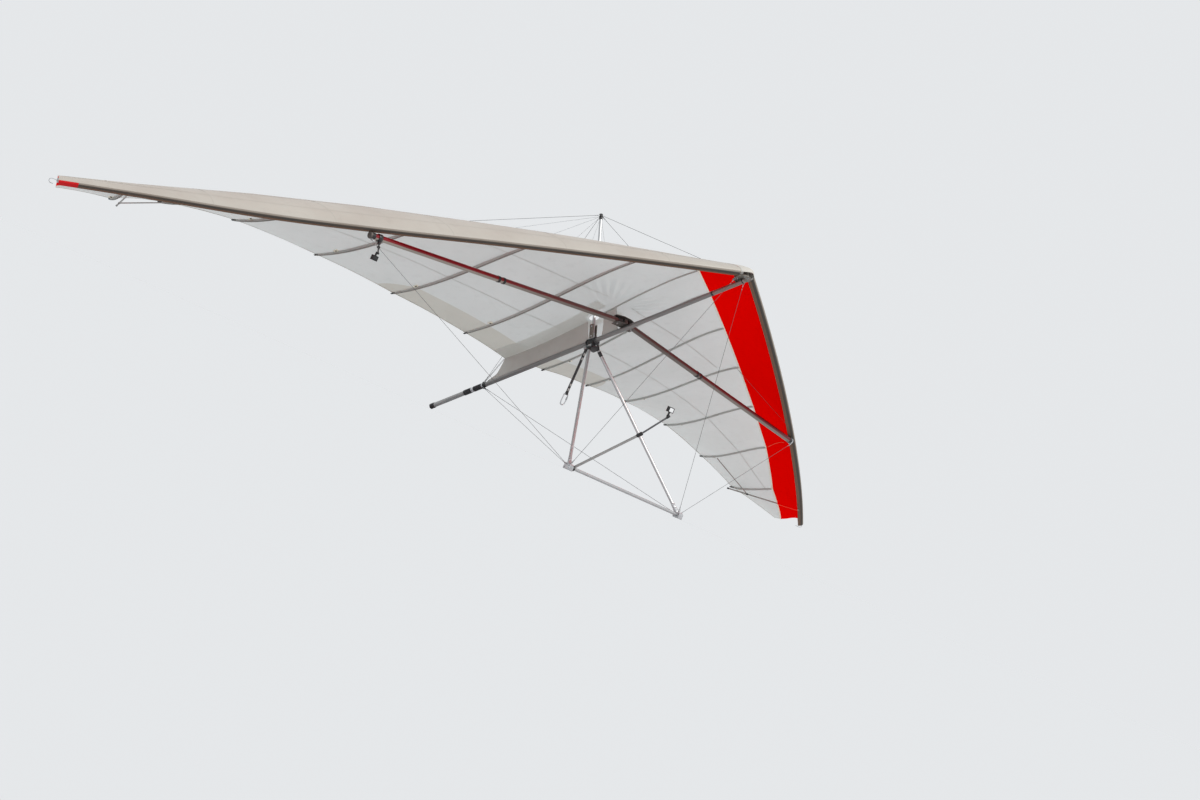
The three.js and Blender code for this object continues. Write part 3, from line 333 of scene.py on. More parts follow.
class Shape:
    """Gathers grids of points into one mesh, with UVs in metres along and across."""

    def __init__(self):
        self.clear()

    def clear(self):
        self.points, self.faces, self.uvs, self.marks = [], [], [], []
        self.is_open = False

    def grid(self, points, look=0, closed=False, uv=None, ends=False):
        """Faces between rows of points; a closed grid joins its last column to its first."""
        p = vec(points)
        rows, columns = p.shape[:2]
        wide = columns + closed
        marks = np.broadcast_to(look, (rows - 1, wide - 1)).tolist()
        self.is_open |= not closed
        if uv is None:
            around = np.concatenate([p, p[:, :1]], 1) if closed else p
            along = np.linalg.norm(np.diff(p, axis=0), axis=2).mean(1)
            across = np.linalg.norm(np.diff(around, axis=1), axis=2).mean(0)
            u, v = (np.concatenate([[0], np.cumsum(lengths)]) / MM for lengths in (along, across))
            uv = np.stack(np.broadcast_arrays(u[:, None], v[None, :]), -1)
        start = len(self.points)
        self.points.extend(p.reshape(-1, 3))
        for i in range(rows - 1):
            near, far = start + i * columns, start + (i + 1) * columns
            for j in range(wide - 1):
                k = (j + 1) % columns
                self.faces.append((near + j, near + k, far + k, far + j))
                self.uvs.append((uv[i, j], uv[i, j + 1], uv[i + 1, j + 1], uv[i + 1, j]))
                self.marks.append(marks[i][j])
        if ends:
            for i, order in ((0, range(columns - 1, -1, -1)), (rows - 1, range(columns))):
                self.faces.append(tuple(start + i * columns + j for j in order))
                self.uvs.append(tuple(uv[i, j] for j in order))
                self.marks.append(marks[0][0])

    def spread(self, points, look=0):
        """Cloth whose UVs are the distances out from the keel and aft."""
        self.grid(points, look, uv=vec(points)[..., [1, 0]] / MM)

    def sweep(self, path, section, look=0, up=Z, sizes=None, ends=True):
        """Moves a closed 2-D section [(side, up)] along a path."""
        path, section = vec(path), vec(section)
        flow = np.gradient(path, axis=0)
        flow /= np.linalg.norm(flow, axis=1)[:, None]
        side = np.cross(up, flow[0])
        if np.linalg.norm(side) < 1e-6:
            side = np.cross(X, flow[0])
        rings = []
        for i, point in enumerate(path):
            side = side - flow[i] * (side @ flow[i])
            side /= np.linalg.norm(side)
            over = np.cross(flow[i], side)
            size = 1.0 if sizes is None else sizes[i]
            rings.append(point + size * (section[:, :1] * side + section[:, 1:] * over))
        self.grid(rings, look, closed=True, ends=ends)

    def tube(self, path, radius, look=0, sides=20, ends=True, up=Z):
        """Round tube along a path; radius is a number or one for each point."""
        sizes = np.broadcast_to(vec(radius), (len(path),))
        self.sweep(path, circle(sides), look, up, sizes, ends)

    def rod(self, a, b, radius, look=0, sides=20, bevel=0.0, steps=1):
        """Straight round bar, its rims eased by a bevel."""
        a, d = vec(a), vec(b) - vec(a)
        length = np.linalg.norm(d)
        at, size = list(np.linspace(bevel, length - bevel, steps + 1)), [radius] * (steps + 1)
        if bevel:
            at, size = [0, *at, length], [radius - bevel, *size, radius - bevel]
        self.tube([a + d * (x / length) for x in at], size, look, sides)

    def lathe(self, origin, axis, profile, look=0, sides=28):
        """Turned body: profile of (along the axis, radius)."""
        axis = unit(axis)
        side = unit(np.cross(Z if abs(axis[2]) < 0.9 else X, axis))
        turn = circle(sides)
        ring = turn[:, :1] * side + turn[:, 1:] * np.cross(axis, side)
        self.grid([vec(origin) + axis * a + r * ring for a, r in profile], look, closed=True, ends=True)

    def ring(self, origin, axis, width, *rise, look=0, sides=40):
        """Turned ring that rises by the given steps of (along, radius) and falls by the same."""
        fall = [(width - along, radius) for along, radius in reversed(rise)]
        self.lathe(origin, axis, [*rise, *fall], look, sides)

    def block(self, centre, size, look=0, bevel=2.0, axes=None, segments=2):
        """Box with rounded edges; axes are its own unit directions."""
        b = bmesh.new()
        bmesh.ops.create_cube(b, size=1.0)
        for v in b.verts:
            v.co = Vector([c * s for c, s in zip(v.co, size)])
        bmesh.ops.bevel(b, geom=list(b.edges), offset=bevel, segments=segments, profile=0.6, affect="EDGES")
        b.verts.ensure_lookup_table()
        local = np.array([v.co for v in b.verts])
        start = len(self.points)
        self.points.extend(vec(centre) + (local if axes is None else local @ axes))
        for f in b.faces:
            ids = [v.index for v in f.verts]
            flat = np.delete(local[ids], np.argmax(np.abs(vec(f.normal))), 1) / MM
            self.faces.append(tuple(start + i for i in ids))
            self.uvs.append(tuple(flat))
            self.marks.append(look)
        b.free()

    def bolt(self, at, axis, head=6.0, height=5.0):
        """Hexagon head on a washer."""
        self.lathe(at, axis, [(0, head * 1.55), (1.2, head * 1.6), (1.8, head * 1.45)], sides=20)
        top = [(0, head), (height - 1, head), (height, head * 0.85)]
        self.lathe(vec(at) + unit(axis) * 1.6, axis, top, sides=6)

    def plate(self, outline, thickness, origin, x_axis=X, y_axis=Y, bevel=0.8):
        """Flat plate with a rounded outline and eased rims."""
        normal = np.cross(x_axis, y_axis)
        outline = vec(outline)
        arms = outline - outline.mean(0)
        inward = arms / np.linalg.norm(arms, axis=1)[:, None] * bevel
        rings = []
        for z, pull in ((0, 1), (bevel, 0), (thickness - bevel, 0), (thickness, 1)):
            flat = outline - inward * pull
            rings.append(vec(origin) + flat[:, :1] * x_axis + flat[:, 1:] * y_axis + z * normal)
        self.grid(rings, closed=True, ends=True)

    def make(self, name, looks, node=None, body="airframe"):
        """Turns what was gathered into a piece that stands for a CAD node, and starts afresh."""
        points = row(self.points) if body == "airframe" else vec(self.points) / MM
        looks = looks if isinstance(looks, list) else [looks]
        mesh = bpy.data.meshes.new(name)
        mesh.from_pydata(points.tolist(), [], self.faces)
        layer = mesh.uv_layers.new(name="UVMap")
        flat = [c for corners in self.uvs for c in corners]
        layer.data.foreach_set("uv", np.asarray(flat, np.float32).ravel())
        for look in looks:
            mesh.materials.append(look)
        mesh.polygons.foreach_set("material_index", self.marks)
        mesh.polygons.foreach_set("use_smooth", [True] * len(self.faces))
        if not self.is_open:
            b = bmesh.new()
            b.from_mesh(mesh)
            bmesh.ops.recalc_face_normals(b, faces=b.faces)
            b.to_mesh(mesh)
            b.free()
        mesh.set_sharp_from_angle(angle=SHARP_ANGLE)
        mesh.update()
        piece = add(name, mesh)
        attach(piece, body)
        if node:
            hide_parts(node)
        self.clear()
        return piece


def rounded(corners, radius, steps=4):
    """Closed outline whose corners are eased by a quadratic curve."""
    p = vec(corners)
    f = np.linspace(0, 1, steps + 1)[:, None]
    out = []
    for before, at, after in zip(np.roll(p, 1, 0), p, np.roll(p, -1, 0)):
        a, b = at + unit(before - at) * radius, at + unit(after - at) * radius
        out.extend((1 - f) ** 2 * a + 2 * f * (1 - f) * at + f * f * b)
    return np.array(out)


def knot_slopes(step, points):
    """Slope of a smooth curve at each of its points, which lie a step apart."""
    step = step[:, None]
    cut = np.diff(points, axis=0) / step
    inner = (cut[:-1] * step[1:] + cut[1:] * step[:-1]) / (step[1:] + step[:-1])
    return np.concatenate([cut[:1], inner, cut[-1:]])


def between(f, step, a, b, slope_a, slope_b):
    """Point at a share f of one step of a smooth curve, from a to b."""
    return ((2 * f**3 - 3 * f**2 + 1) * a + (f**3 - 2 * f**2 + f) * step * slope_a
            + (-2 * f**3 + 3 * f**2) * b + (f**3 - f**2) * step * slope_b)


def smooth_line(points, each=4):
    """Smooth curve through the points, stepping evenly between each pair."""
    p = vec(points)
    step = np.linalg.norm(np.diff(p, axis=0), axis=1)
    slope = knot_slopes(step, p)
    out = [between(f, step[i], p[i], p[i + 1], slope[i], slope[i + 1])
           for i in range(len(step)) for f in np.arange(each) / each]
    return np.array([*out, p[-1]])


# Wing sections: distance out of the front from the keel, height of the leading-edge tube, x, y and z
# of the trailing edge, camber, and depth of the red panel
STATIONS = np.array([
    (0, 57, -1050, 0, 193, 215, 593),
    (455, 51, -1050, 557, 266, 231, 587),
    (1190, 41, -1187, 1393, 426, 248, 580),
    (2027, 29, -1369, 2206, 585, 238, 544),
    (2839, 18, -1532, 3084, 665, 217, 507),
    (3697, 35, -1665, 3850, 600, 180, 428),
    (4656, 112, -1700, 4400, 430, 108, 300),
    (5240, 168, -1640, 5070, 250, 62, 195),
], float)
FRONTS = STATIONS[:, 0]
BAYS = np.diff(FRONTS)
SLOPES = knot_slopes(BAYS, STATIONS)
# Distances out from the keel: the root, the rim of the nose cover and the tip
ROOT, RIM, TIP = 0.15, 92.3, 5240
# From a leading-edge tube to the outside of the cloth round it, and the tube's height over the foot
SKIN_GAP = 3.4
FOOT = 36
# Along the points of a section's profile, with 4 steps a knot for the red panel and 5 for the rest:
# starts of the panel, the nose cap and the cross seams, end of the strip, and the two long seams
RED_START, CAP_START, SEAM_START, STRIP_END = 28, 15, 14, 18
SEAM_LANES = (33, 46)


def front_x(y):
    return 1838 - 0.545 * y - 9e-6 * y * y - 1e-9 * y**3


def offset(profile, distance):
    """Moves a profile of (along, z) inward."""
    d = np.gradient(profile, axis=0)
    n = np.linalg.norm(d, axis=1)
    return profile + np.stack([d[:, 1], -d[:, 0]], 1) / n[:, None] * distance


class Section:
    """The wing cut at one place along the leading edge."""

    def __init__(self, y):
        self.y = y = max(y, ROOT)
        i = int(np.clip(np.searchsorted(FRONTS, y) - 1, 0, len(BAYS) - 1))
        self.bay_width = BAYS[i]
        self.bay = (y - FRONTS[i]) / BAYS[i]
        smooth = between(self.bay, BAYS[i], *STATIONS[i:i + 2], *SLOPES[i:i + 2])
        self.tube_z, self.camber, red_depth = smooth[[1, 5, 6]]
        rear_x, rear_y, self.rear_z = (np.interp(y, FRONTS, STATIONS[:, k]) for k in (2, 3, 4))
        self.x = front_x(y)
        ax, ay = rear_x - self.x, max(rear_y, ROOT) - y
        self.chord = math.hypot(ax, ay)
        self.ax, self.ay = ax / self.chord, ay / self.chord
        ex = front_x(y + 1) - self.x
        self.skew = abs(self.ax - self.ay * ex) / math.hypot(ex, 1)
        self.radius = float(np.interp(y, (3697, 4656), (26, 21)))
        self.reach = self.radius + SKIN_GAP
        self.tube_along = self.reach / self.skew
        self.axis = self.place(self.tube_along, self.tube_z)
        self.red_t = min(red_depth / abs(self.ax) / self.chord, 0.96)

    def height(self, t):
        foot = self.tube_z - FOOT
        arch = self.camber / 0.213 * t**0.7 * (1 - t) ** 2
        return foot + (self.rear_z - foot) * t + arch + FOOT * (1 - t) ** 3

    def place(self, along, z):
        along, z = vec(along), vec(z)
        return np.stack([self.x + self.ax * along, self.y + self.ay * along, z + 0 * along], -1)

    def share(self, x):
        """Chord share of the points that lie at x."""
        return (self.x - x) / (self.chord * abs(self.ax))

    def profile(self, each, inward):
        """Profile from under the leading-edge tube, round it and up to the red panel's rear edge."""
        knots = [(self.tube_along + 34 / self.skew, self.tube_z - self.reach)]
        for c, n in self.reach * arc(270, 150, 5):
            knots.append((self.tube_along + c / self.skew, self.tube_z + n))
        for step in (0.1, 0.2, 0.33, 0.5, 0.72, 1):
            t = self.red_t * step
            knots.append((t * self.chord, self.height(t)))
        return offset(smooth_line(knots, each), inward)

    def wrap(self, each, inward):
        return self.place(*self.profile(each, inward).T)

    def upper(self, t, drop):
        """Points of the sail at chord shares t, a distance below its upper face."""
        t = vec(t)
        along, z = t * self.chord, self.height(t)
        da, dz = np.gradient(along), np.gradient(z)
        n = np.hypot(da, dz)
        lift = 12 * np.sin(math.pi * self.bay) * t**3 * min(1.0, self.bay_width / 800)
        return self.place(along + dz / n * drop, z - da / n * drop + lift)


def columns(first, last, each):
    """Distances out from the keel, with each station hit exactly."""
    knots = [first, *[y for y in FRONTS if first < y < last], last]
    out = [a + (b - a) * i / each for a, b in zip(knots, knots[1:]) for i in range(each)]
    return [*out, last]


FAN_X, FAN_Y = 150.0, -60.0
FAN_STEP = math.radians(10)
FAN_LIFT = 0.018


def creased(points, front=None):
    """Sail points with soft creases: a fan that runs in to the kingpost and slack near the keel.
    They fade towards the leading edge when its place, front, is given."""
    x, y = points[:, 0], points[:, 1]
    dx, dy = x - FAN_X, y - FAN_Y
    reach = np.hypot(dx, dy)
    window = np.exp(-((x - 440) / 150) ** 2 - ((y - 240) / 170) ** 2)
    ripple = FAN_LIFT * reach * window * np.sin(2 * math.pi * np.arctan2(dy, dx) / FAN_STEP)
    slack = np.exp(-(y / 420) ** 2) * 2.4 * np.sin(x / 71 + y / 60)
    drift = 2.2 * np.sin(x / 190 + 1.3 * np.sin(y / 260)) * np.sin(y / 340 + 0.6)
    fade = 1 if front is None else np.clip((front - x) / 900 - 0.2, 0, 1)
    points[:, 2] += (ripple + slack + drift) * fade
    return points


# Main sail: the kingpost's hole, and the doubled band along the trailing edge
HOLE_X, HOLE_R = 34.0, 46.0
BAND_ROWS = 8
BAND_END = 1365.0
BAND_DEPTH = 268.0
root = Section(ROOT)


def band_start(sec):
    """Chord share where the doubled band of the trailing edge starts: of one depth from the root to
    the second batten, and run out to a hem beyond it."""
    hem = 22 * min(1, (5400 - sec.y) / 1500)
    share = math.sqrt(np.clip((BAND_END - sec.y) / 175, 0, 1))
    return 1 - (hem + (BAND_DEPTH - hem) * share) / sec.chord


def hole_rows():
    """Shares of the sail ahead of its band, closer together where the kingpost passes."""
    start, stop = root.red_t * root.chord, band_start(root) * root.chord

    def at(x):
        return (root.x - x - start) / (stop - start)

    near = at(HOLE_X + HOLE_R * arc(0, 180, 15)[:, 0])
    even = [*np.linspace(0, at(640), 24)[:-1], *np.linspace(at(640), at(120), 52)[:-1],
            *np.linspace(at(120), 1, 40)]
    coarse = [f for f in even if not near[0] - 0.006 < f < near[-1] + 0.006]
    return np.array(sorted([*coarse, *near]))


def sail_column(sec):
    """Points of the main sail aft from the red panel: shares up to the band, then the band's own."""
    a, b = sec.red_t + 0.4 / sec.chord, band_start(sec)
    t = np.concatenate([a + (b - a) * SAIL_ROWS, np.linspace(b, 1, BAND_ROWS)[1:]])
    p = creased(sec.upper(t, 1.5), sec.x)
    inside = np.clip(HOLE_R**2 - (p[:, 0] - HOLE_X) ** 2, 0, None) ** 0.5
    p[:, 1] = np.maximum(p[:, 1], inside + 0.55 * p[:, 1] * (inside > 0))
    return p


SAIL_ROWS = hole_rows()
SAIL_YS = [*np.linspace(ROOT, 455, 38)[:-1], *np.linspace(455, 1190, 14)[:-1],
           *np.linspace(1190, BAND_END, 13)[:-1], *columns(BAND_END, TIP, 13)]
SAIL_GRID = [sail_column(sec) for sec in map(Section, SAIL_YS)]
# Root strips: (y, front) of their columns, rear, points in a column and distance below the sail
ROOT_STRIPS = ((((ROOT, -34), (30, -30), (50, -14), (62, 30), (95, 64), (128, 97)), -1040, 36, 3.2),
               (((60, 230), (92, 230), (128, 230), (170, 230)), 95, 8, 3.0))
# Outline of a batten pocket (across, down), and how much deeper the right wing's pockets hang
FIN = np.array([(-10, 0.4), (-6.8, 2.5), (-6.4, 8), (-6.4, 12.5), (-4.2, 16.8), (0, 18.6),
                (4.2, 16.8), (6.4, 12.5), (6.4, 8), (6.8, 2.5), (10, 0.4)])
DEEPER = 0.9
STRUT_REAR, STRUT_FRONT = vec((-1701, 4320, 385)), vec((-1120, 4750, 85.6))


def main_sail(side, sign):
    s = Shape()
    doubled = np.zeros((len(SAIL_YS) - 1, len(SAIL_ROWS) + BAND_ROWS - 2), int)
    doubled[:, len(SAIL_ROWS) - 1:] = np.array(SAIL_YS[:-1])[:, None] < BAND_END - 1
    s.spread(flipped(SAIL_GRID, sign), doubled)
    sail = s.make(f"sail_cloth_{side}", [WHITE, BAND], f"sail_{side}")

    for fronts, rear, count, drop in ROOT_STRIPS:
        strip = []
        for y, front in fronts:
            sec = Section(y)
            strip.append(creased(sec.upper(sec.share(np.linspace(front, rear, count)), drop)))
        s.spread(flipped(strip, sign))
    dress = [s.make(f"root_strip_{side}", ROOT_CLOTH)]

    # Panel seams across the wing, each a lapped tape
    for start, first, last in ((-290, 60, 4700), (375, 150, 1950)):
        line = []
        for sec in map(Section, np.linspace(first, last, 90)):
            t = sec.share(start - 0.23 * sec.y) + np.array([-5, 0, 5]) / sec.chord
            line.append(creased(sec.upper(t, 2.4), sec.x))
        s.grid(flipped(line, sign))
    dress.append(s.make(f"panel_seams_{side}", SEAM))

    hem = [sec.upper([0.99, 1.0], 1.5)[-1] for sec in map(Section, columns(ROOT, 5236, 10))]
    s.tube(flipped(hem, sign), 2.6, sides=8)
    dress.append(s.make(f"trailing_hem_{side}", BAND))

    # Batten pockets: narrow sleeves sewn under the sail, each with a cap, a tie and a tab at its end. On the
    # right wing their lower faces are painted dark, as shade.
    caps = Shape()
    for sec in map(Section, FRONTS[1:7]):
        t = np.linspace(sec.red_t + 2 / sec.chord, 1 - 14 / sec.chord, 34)
        spine = sec.upper(t, 2.0)
        down = sec.upper(t, 3.0) - spine
        across = np.array([-sec.ay, sec.ax, 0])
        deep = 1 + DEEPER * (sign < 0) * np.sin(np.linspace(0, math.pi, len(t)))
        p = [[q + f[0] * across + d * f[1] * k for f in FIN] for q, d, k in zip(spine, down, deep)]
        # Painted shade: the right wing's pockets take the dark cloth on their lower faces
        shaded_low = np.zeros((len(t) - 1, len(FIN) - 1), int)
        shaded_low[:, 3:7] = 2 * (sign < 0)
        s.grid(flipped(p, sign), shaded_low)
        end = flipped(sec.upper([0.97, 1.0], 9.6), sign)
        tail, out = end[1], unit(end[1] - end[0])
        caps.rod(tail - out * 34, tail + out * 13, 7.6, sides=16, bevel=2)
        caps.rod(tail + out * 12, tail + out * 22, 3.2, sides=12, bevel=1)
        tab = flipped(sec.upper([0.876, 0.88], 5.2)[1] - across * 27, sign)
        s.block(tab, (44, 34, 4), 1, bevel=1)
        caps.lathe(tab - Z * 1.6, -Z, [(0, 8), (3, 8), (4, 6.5)], sides=16)
        caps.tube([tail + out * (14 + 7 * n) + (0, 9 * c, 4 * n) for c, n in arc(0, 360, 17)], 1.5, sides=6)
    dress.append(s.make(f"batten_pockets_{side}", [PALE_POCKET, PALE_SEAM, POCKET_SHADE]))
    dress.append(caps.make(f"batten_caps_{side}", BLACK))
    if sign > 0:
        # Reinforcing sleeve along the centre line, ahead of the kingpost
        t = np.linspace(root.red_t + 8 / root.chord, (root.x - 130) / root.chord, 40)
        spine, lower = root.upper(t, 2.6) * (1, 0, 1), root.upper(t, 3.6) * (1, 0, 1)
        narrow = FIN * (0.9, 0.6)
        s.grid([[q + f[0] * Y + d * f[1] for f in narrow] for q, d in zip(spine, lower - spine)])
        dress.append(s.make("centre_sleeve", POCKET))


def red_panel(side, sign):
    """From the leading-edge strip back to its straight rear edge, with a pale tape along that edge."""
    s = Shape()
    grid = []
    for sec in map(Section, columns(RIM, TIP, 13)):
        whole = sec.profile(4, 5.0)[RED_START:]
        lip = np.array([sec.tube_along + 36 / sec.skew, sec.tube_z - sec.radius + 0.5])
        rise = smooth_line([lip, lerp(lip, whole[0], 0.5) + (1.5, 0), whole[0]])[:-1]
        grid.append(sec.place(*np.concatenate([rise, whole]).T))
    s.spread(flipped(grid, sign))
    s.spread(flipped([Section(y).wrap(4, 5.0)[RED_START:] for y in np.linspace(ROOT, RIM, 7)], sign))
    red = s.make(f"red_cloth_{side}", RED, f"red_panel_{side}")
    tape = [sec.upper(sec.red_t + np.array([-13, -5, 2.5]) / sec.chord, 6.9)
            for sec in map(Section, columns(ROOT, 5238, 13))]
    s.grid(flipped(tape, sign))
    trim = [s.make(f"red_edge_tape_{side}", PALE_SEAM)]
    if sign > 0:
        # Sleeve over the left washout strut where it passes the panel, its welt and the welt at batten 5
        a, b = lerp(STRUT_REAR, STRUT_FRONT, 0.705), lerp(STRUT_REAR, STRUT_FRONT, 0.985)
        s.rod(a, b, 9.4, bevel=1.5, steps=6)
        s.rod(a - Z * 10, b - Z * 10, 1.8, 1, sides=8)
        welt = [Section(3696 - 181 * f).upper(np.array([0.298, 0.30]) - 0.18 * f, 7.2)[1]
                for f in np.linspace(0, 1, 16)]
        s.tube(welt, 1.8, 1, sides=8)
        trim.append(s.make("washout_sleeve", [RED, RED_SEAM]))


def leading_edge(side, sign):
    """Cream skin round the tube, with the dark strip under it, darkened by painted shade, and its seams."""
    s = Shape()
    ys = np.array(columns(RIM, TIP, 13))
    s.grid(flipped([Section(y).wrap(5, 1.5) for y in ys], sign))
    edge = s.make(f"edge_cloth_{side}", CREAM, f"leading_edge_pocket_{side}")
    # The right tip has a red patch where the strip stops short
    patch = (ys[:-1, None] > 5100) & (sign < 0)
    # The strip's dark colour and its stripes are partly painted shade
    s.grid(flipped([Section(y).wrap(5, -0.5)[:STRIP_END] for y in ys], sign), patch.astype(int))
    strip = s.make(f"edge_strip_{side}", [STRIP, RED_PATCH])
    for y in (700, 1540, 2420, 3300, 4180, 4900):
        s.grid(flipped([Section(y + d).wrap(5, 0.4)[SEAM_START:] for d in (-4, 4)], sign))
    for lane in SEAM_LANES:
        seam = []
        for sec in map(Section, columns(RIM, 5235, 8)):
            line = sec.wrap(5, 0.4)
            seam.append([line[lane], line[lane] + unit(line[lane + 1] - line[lane]) * 7])
        s.grid(flipped(seam, sign))
    seam = s.make(f"edge_seams_{side}", EDGE_SEAM)


for side, sign in SIDES:
    main_sail(side, sign)
    red_panel(side, sign)
    leading_edge(side, sign)

# Nose cap, round at the middle, and its seams
s = Shape()
CAP, CAP_ROUND = 92.0, 26
grid = []
for y in np.linspace(-CAP, CAP, 33):
    sec = Section((math.hypot(y, CAP_ROUND) - CAP_ROUND) / (math.hypot(CAP, CAP_ROUND) - CAP_ROUND) * CAP)
    q = sec.wrap(5, 0.8)[CAP_START:]
    q[:, 1] = math.copysign(1, y) * (abs(y) + (q[:, 1] - sec.y))
    grid.append(q)
s.grid(grid)
nose = s.make("nose_cap_cloth", NOSE_CLOTH, "nose_cover")
for sign in (-1, 1):
    s.grid([flipped(Section(CAP + d * sign).wrap(5, -0.6)[CAP_START:], sign) for d in (-5, 0, 5)])
nose_seam = s.make("nose_cap_seams", SEAM)

# Keel pocket
KEEL_TOP = 22.6


def keel_panel(end, xs, top, seed):
    """Upright cloth between the sail and the keel, with soft upright folds."""
    grid = []
    f = np.linspace(0, 1, 16)
    bow = np.sin(math.pi * f)
    for x, high in zip(xs, top):
        fold = 3.5 * math.sin(x / 47 + seed) + 2.0 * math.sin(x / 21 + 2 * seed)
        grid.append(np.stack([x + 6 * bow * math.sin(x / 90), fold * bow ** 0.8,
                              KEEL_TOP + (high - KEEL_TOP) * f], -1))
    s.grid(grid, uv=vec(grid)[..., [0, 2]] / MM)
    return s.make(f"keel_cloth_{end}", KEEL_CLOTH, f"keel_pocket_{end}")


def under_root(x):
    return root.height((root.x - x) / root.chord) - 5


xs = np.linspace(-40, -1262, 64)
tail_line = (1050, 1075, 1156, 1262), (under_root(-1050), 150, 62, 34)
top = [min(under_root(x), np.interp(-x, *tail_line)) if x < -1050 else under_root(x) for x in xs]
rear = keel_panel("rear", xs, top, 0.4)
xs = np.linspace(110, 300, 16)
nose_line = (110, 128, 150), (30, 90, under_root(150))
top = [under_root(x) if x > 150 else np.interp(x, *nose_line) for x in xs]
fore = keel_panel("front", xs, top, 1.1)

# Keel tube with its bands, tail cap, rear sleeve and rings
s.rod((-1982, 0, 0), (1738, 0, 0), 22, sides=40, bevel=2, steps=12)
s.make("keel_round_tube", KEEL_ALLOY, "keel_tube")
for x, width in ((1387, 20), (1725, 12), (-1300, 26), (-60, 14)):
    s.ring((x - width / 2, 0, 0), X, width, (0, 22.1), (0.8, 23.4))
s.lathe((-1986, 0, 0), X, [(0, 22), (2.5, 25.2), (4, 26), (14, 26), (15.5, 25), (17, 26), (30, 26),
                           (31.5, 25), (33, 26), (50, 26), (52, 24.6), (52, 22.1)], sides=40)
s.make("keel_bands", BLACK, "tail_cap")
for x, width in ((-1559, 91), (-1438, 101)):
    s.ring((x, 0, 0), X, width, (0, 22.2), (1.5, 25.6), (8, 26))
s.make("keel_sleeve_rubber", RUBBER, "keel_sleeve")
s.ring((-1468, 0, 0), X, 30, (0, 22.1), (1, 24.2))
s.ring((-1337, 0, 0), X, 15, (0, 22.1), (1, 25.4))
s.make("keel_rings", FITTING)

# Leading-edge tubes and cross tubes
CROSS_CENTRE, CROSS_END = vec((379, 0, 62)), vec((32, 3007, -49))
CROSS_R = 27
CROSS_BANDS = {"left": (1250, 1306), "right": (1490, 1550)}
CROSS_CAPS = {"left": FITTING, "right": DARK_PLATE}
cuts = [*map(Section, columns(62, TIP, 6))]
for side, sign in SIDES:
    s.tube(flipped([sec.axis for sec in cuts], sign), [sec.radius for sec in cuts], sides=32)
    s.make(f"edge_round_tube_{side}", STRUT, f"leading_edge_tube_{side}")
    a, b = flipped(CROSS_CENTRE, sign), flipped(CROSS_END, sign)
    run = unit(b - a)
    s.rod(a + run * 46, b, CROSS_R, sides=40, bevel=1.5, steps=10)
    s.make(f"cross_round_tube_{side}", CROSS[side], f"cross_tube_{side}")
    for at in CROSS_BANDS[side]:
        s.ring(a + run * at, run, 25, (0, CROSS_R + 0.1), (1, 30))
    for place, length, size in ((a + run * 47, 54, 30.5), (b - run * 34, 34, 29.4)):
        sleeve = [(0, CROSS_R + 0.1), (1, size), (length - 2, size), (length, CROSS_R + 0.1)]
        s.lathe(place, run, sleeve, sides=40)
    s.make(f"cross_tube_bands_{side}", BLACK)
    s.lathe(b + run * 0.3, run, [(0, 27), (1.5, 31), (16, 31), (20, 28), (21.7, 22)], sides=32)
    s.make(f"cross_tube_cap_{side}", CROSS_CAPS[side], f"cross_tube_bracket_{side}")
    pin = b - run * 10
    s.rod(pin + Z * 27, pin + Z * 43, 6, sides=16, bevel=1)
    s.bolt(pin - Z * 29.2, -Z, 7)
    s.bolt(pin + Z * 26.5, Z, 6.5)
    s.make(f"cross_tube_bolt_{side}", STEEL)

# Kingpost, its head, and the channel round its foot: a rear web and two cheeks with bolts
KING_FOOT, KING_TOP = vec((3, 0, 24.6)), vec((176, 0, 1224))
king = unit(KING_TOP - KING_FOOT)
s.rod(KING_FOOT, KING_TOP, 14, sides=36, bevel=1, steps=8)
s.make("kingpost_tube", POLISHED, "kingpost")
s.lathe(KING_TOP + king * 0.3, king, [(0, 14), (1, 17.5), (24, 18), (30, 15), (33.7, 8)], sides=32)
s.ring(KING_TOP - king * 26, king, 26, (0, 14.1), (1, 15.6), sides=32)
s.make("kingpost_head", BLACK, "kingpost_cap")
s.lathe(KING_FOOT, king, [(0, 14.1), (1, 19), (34, 19), (38, 16.5), (60, 16), (62, 14.1)], sides=32)
s.block((3, 0, 24.8), (74, 52, 4), bevel=1.2)
king_axes = np.array([np.cross(Y, king), Y, king])
middle = KING_FOOT + king * 72
s.block(middle - king_axes[0] * 22.5, (3.6, 41, 139), 1, bevel=1.2, axes=king_axes)
for out in (-1, 1):
    s.block(middle + Y * 22.5 * out, (50, 3.6, 139), 1, bevel=1.2, axes=king_axes)
    for along in (24, 118):
        s.bolt(KING_FOOT + king * along + Y * 24.3 * out, Y * out, 5)
for x in (-27, 33):
    s.bolt((x, 0, 26.8), Z, 5)
s.make("kingpost_foot", [FITTING, NOSE_ALLOY])

# Control frame: corner brackets stand level on the ground, and the tubes end short of their middles
CORNER = vec((270, 777, -1576))
HALF_BLOCK = 27
INSET = Y * 28
down = unit(CORNER - INSET)
down_top = INSET + down * ((-84 + 24) / down[2])
for side, sign in SIDES:
    a, b = flipped(down_top, sign), flipped(CORNER - down * 24, sign)
    run = unit(b - a)
    s.rod(a, b, 15, sides=36, bevel=1, steps=10)
    s.make(f"downtube_round_{side}", POLISHED, f"downtube_{side}")
    s.lathe(a + run * 30, run, [(0, 15.1), (1, 17), (46, 17), (50, 15.1)], 1, sides=32)
    s.lathe(b - run * 92, run, [(0, 15.1), (3, 17), (38, 17), (40, 15.1)], sides=32)
    s.make(f"downtube_ferrules_{side}", [FITTING, BLACK])
bar_end = Y * (CORNER[1] - HALF_BLOCK - 0.3)
bar_middle = CORNER * (1, 0, 1)
s.rod(bar_middle - bar_end, bar_middle + bar_end, 14, sides=36, bevel=1, steps=10)
s.make("base_bar_round", POLISHED, "base_bar")

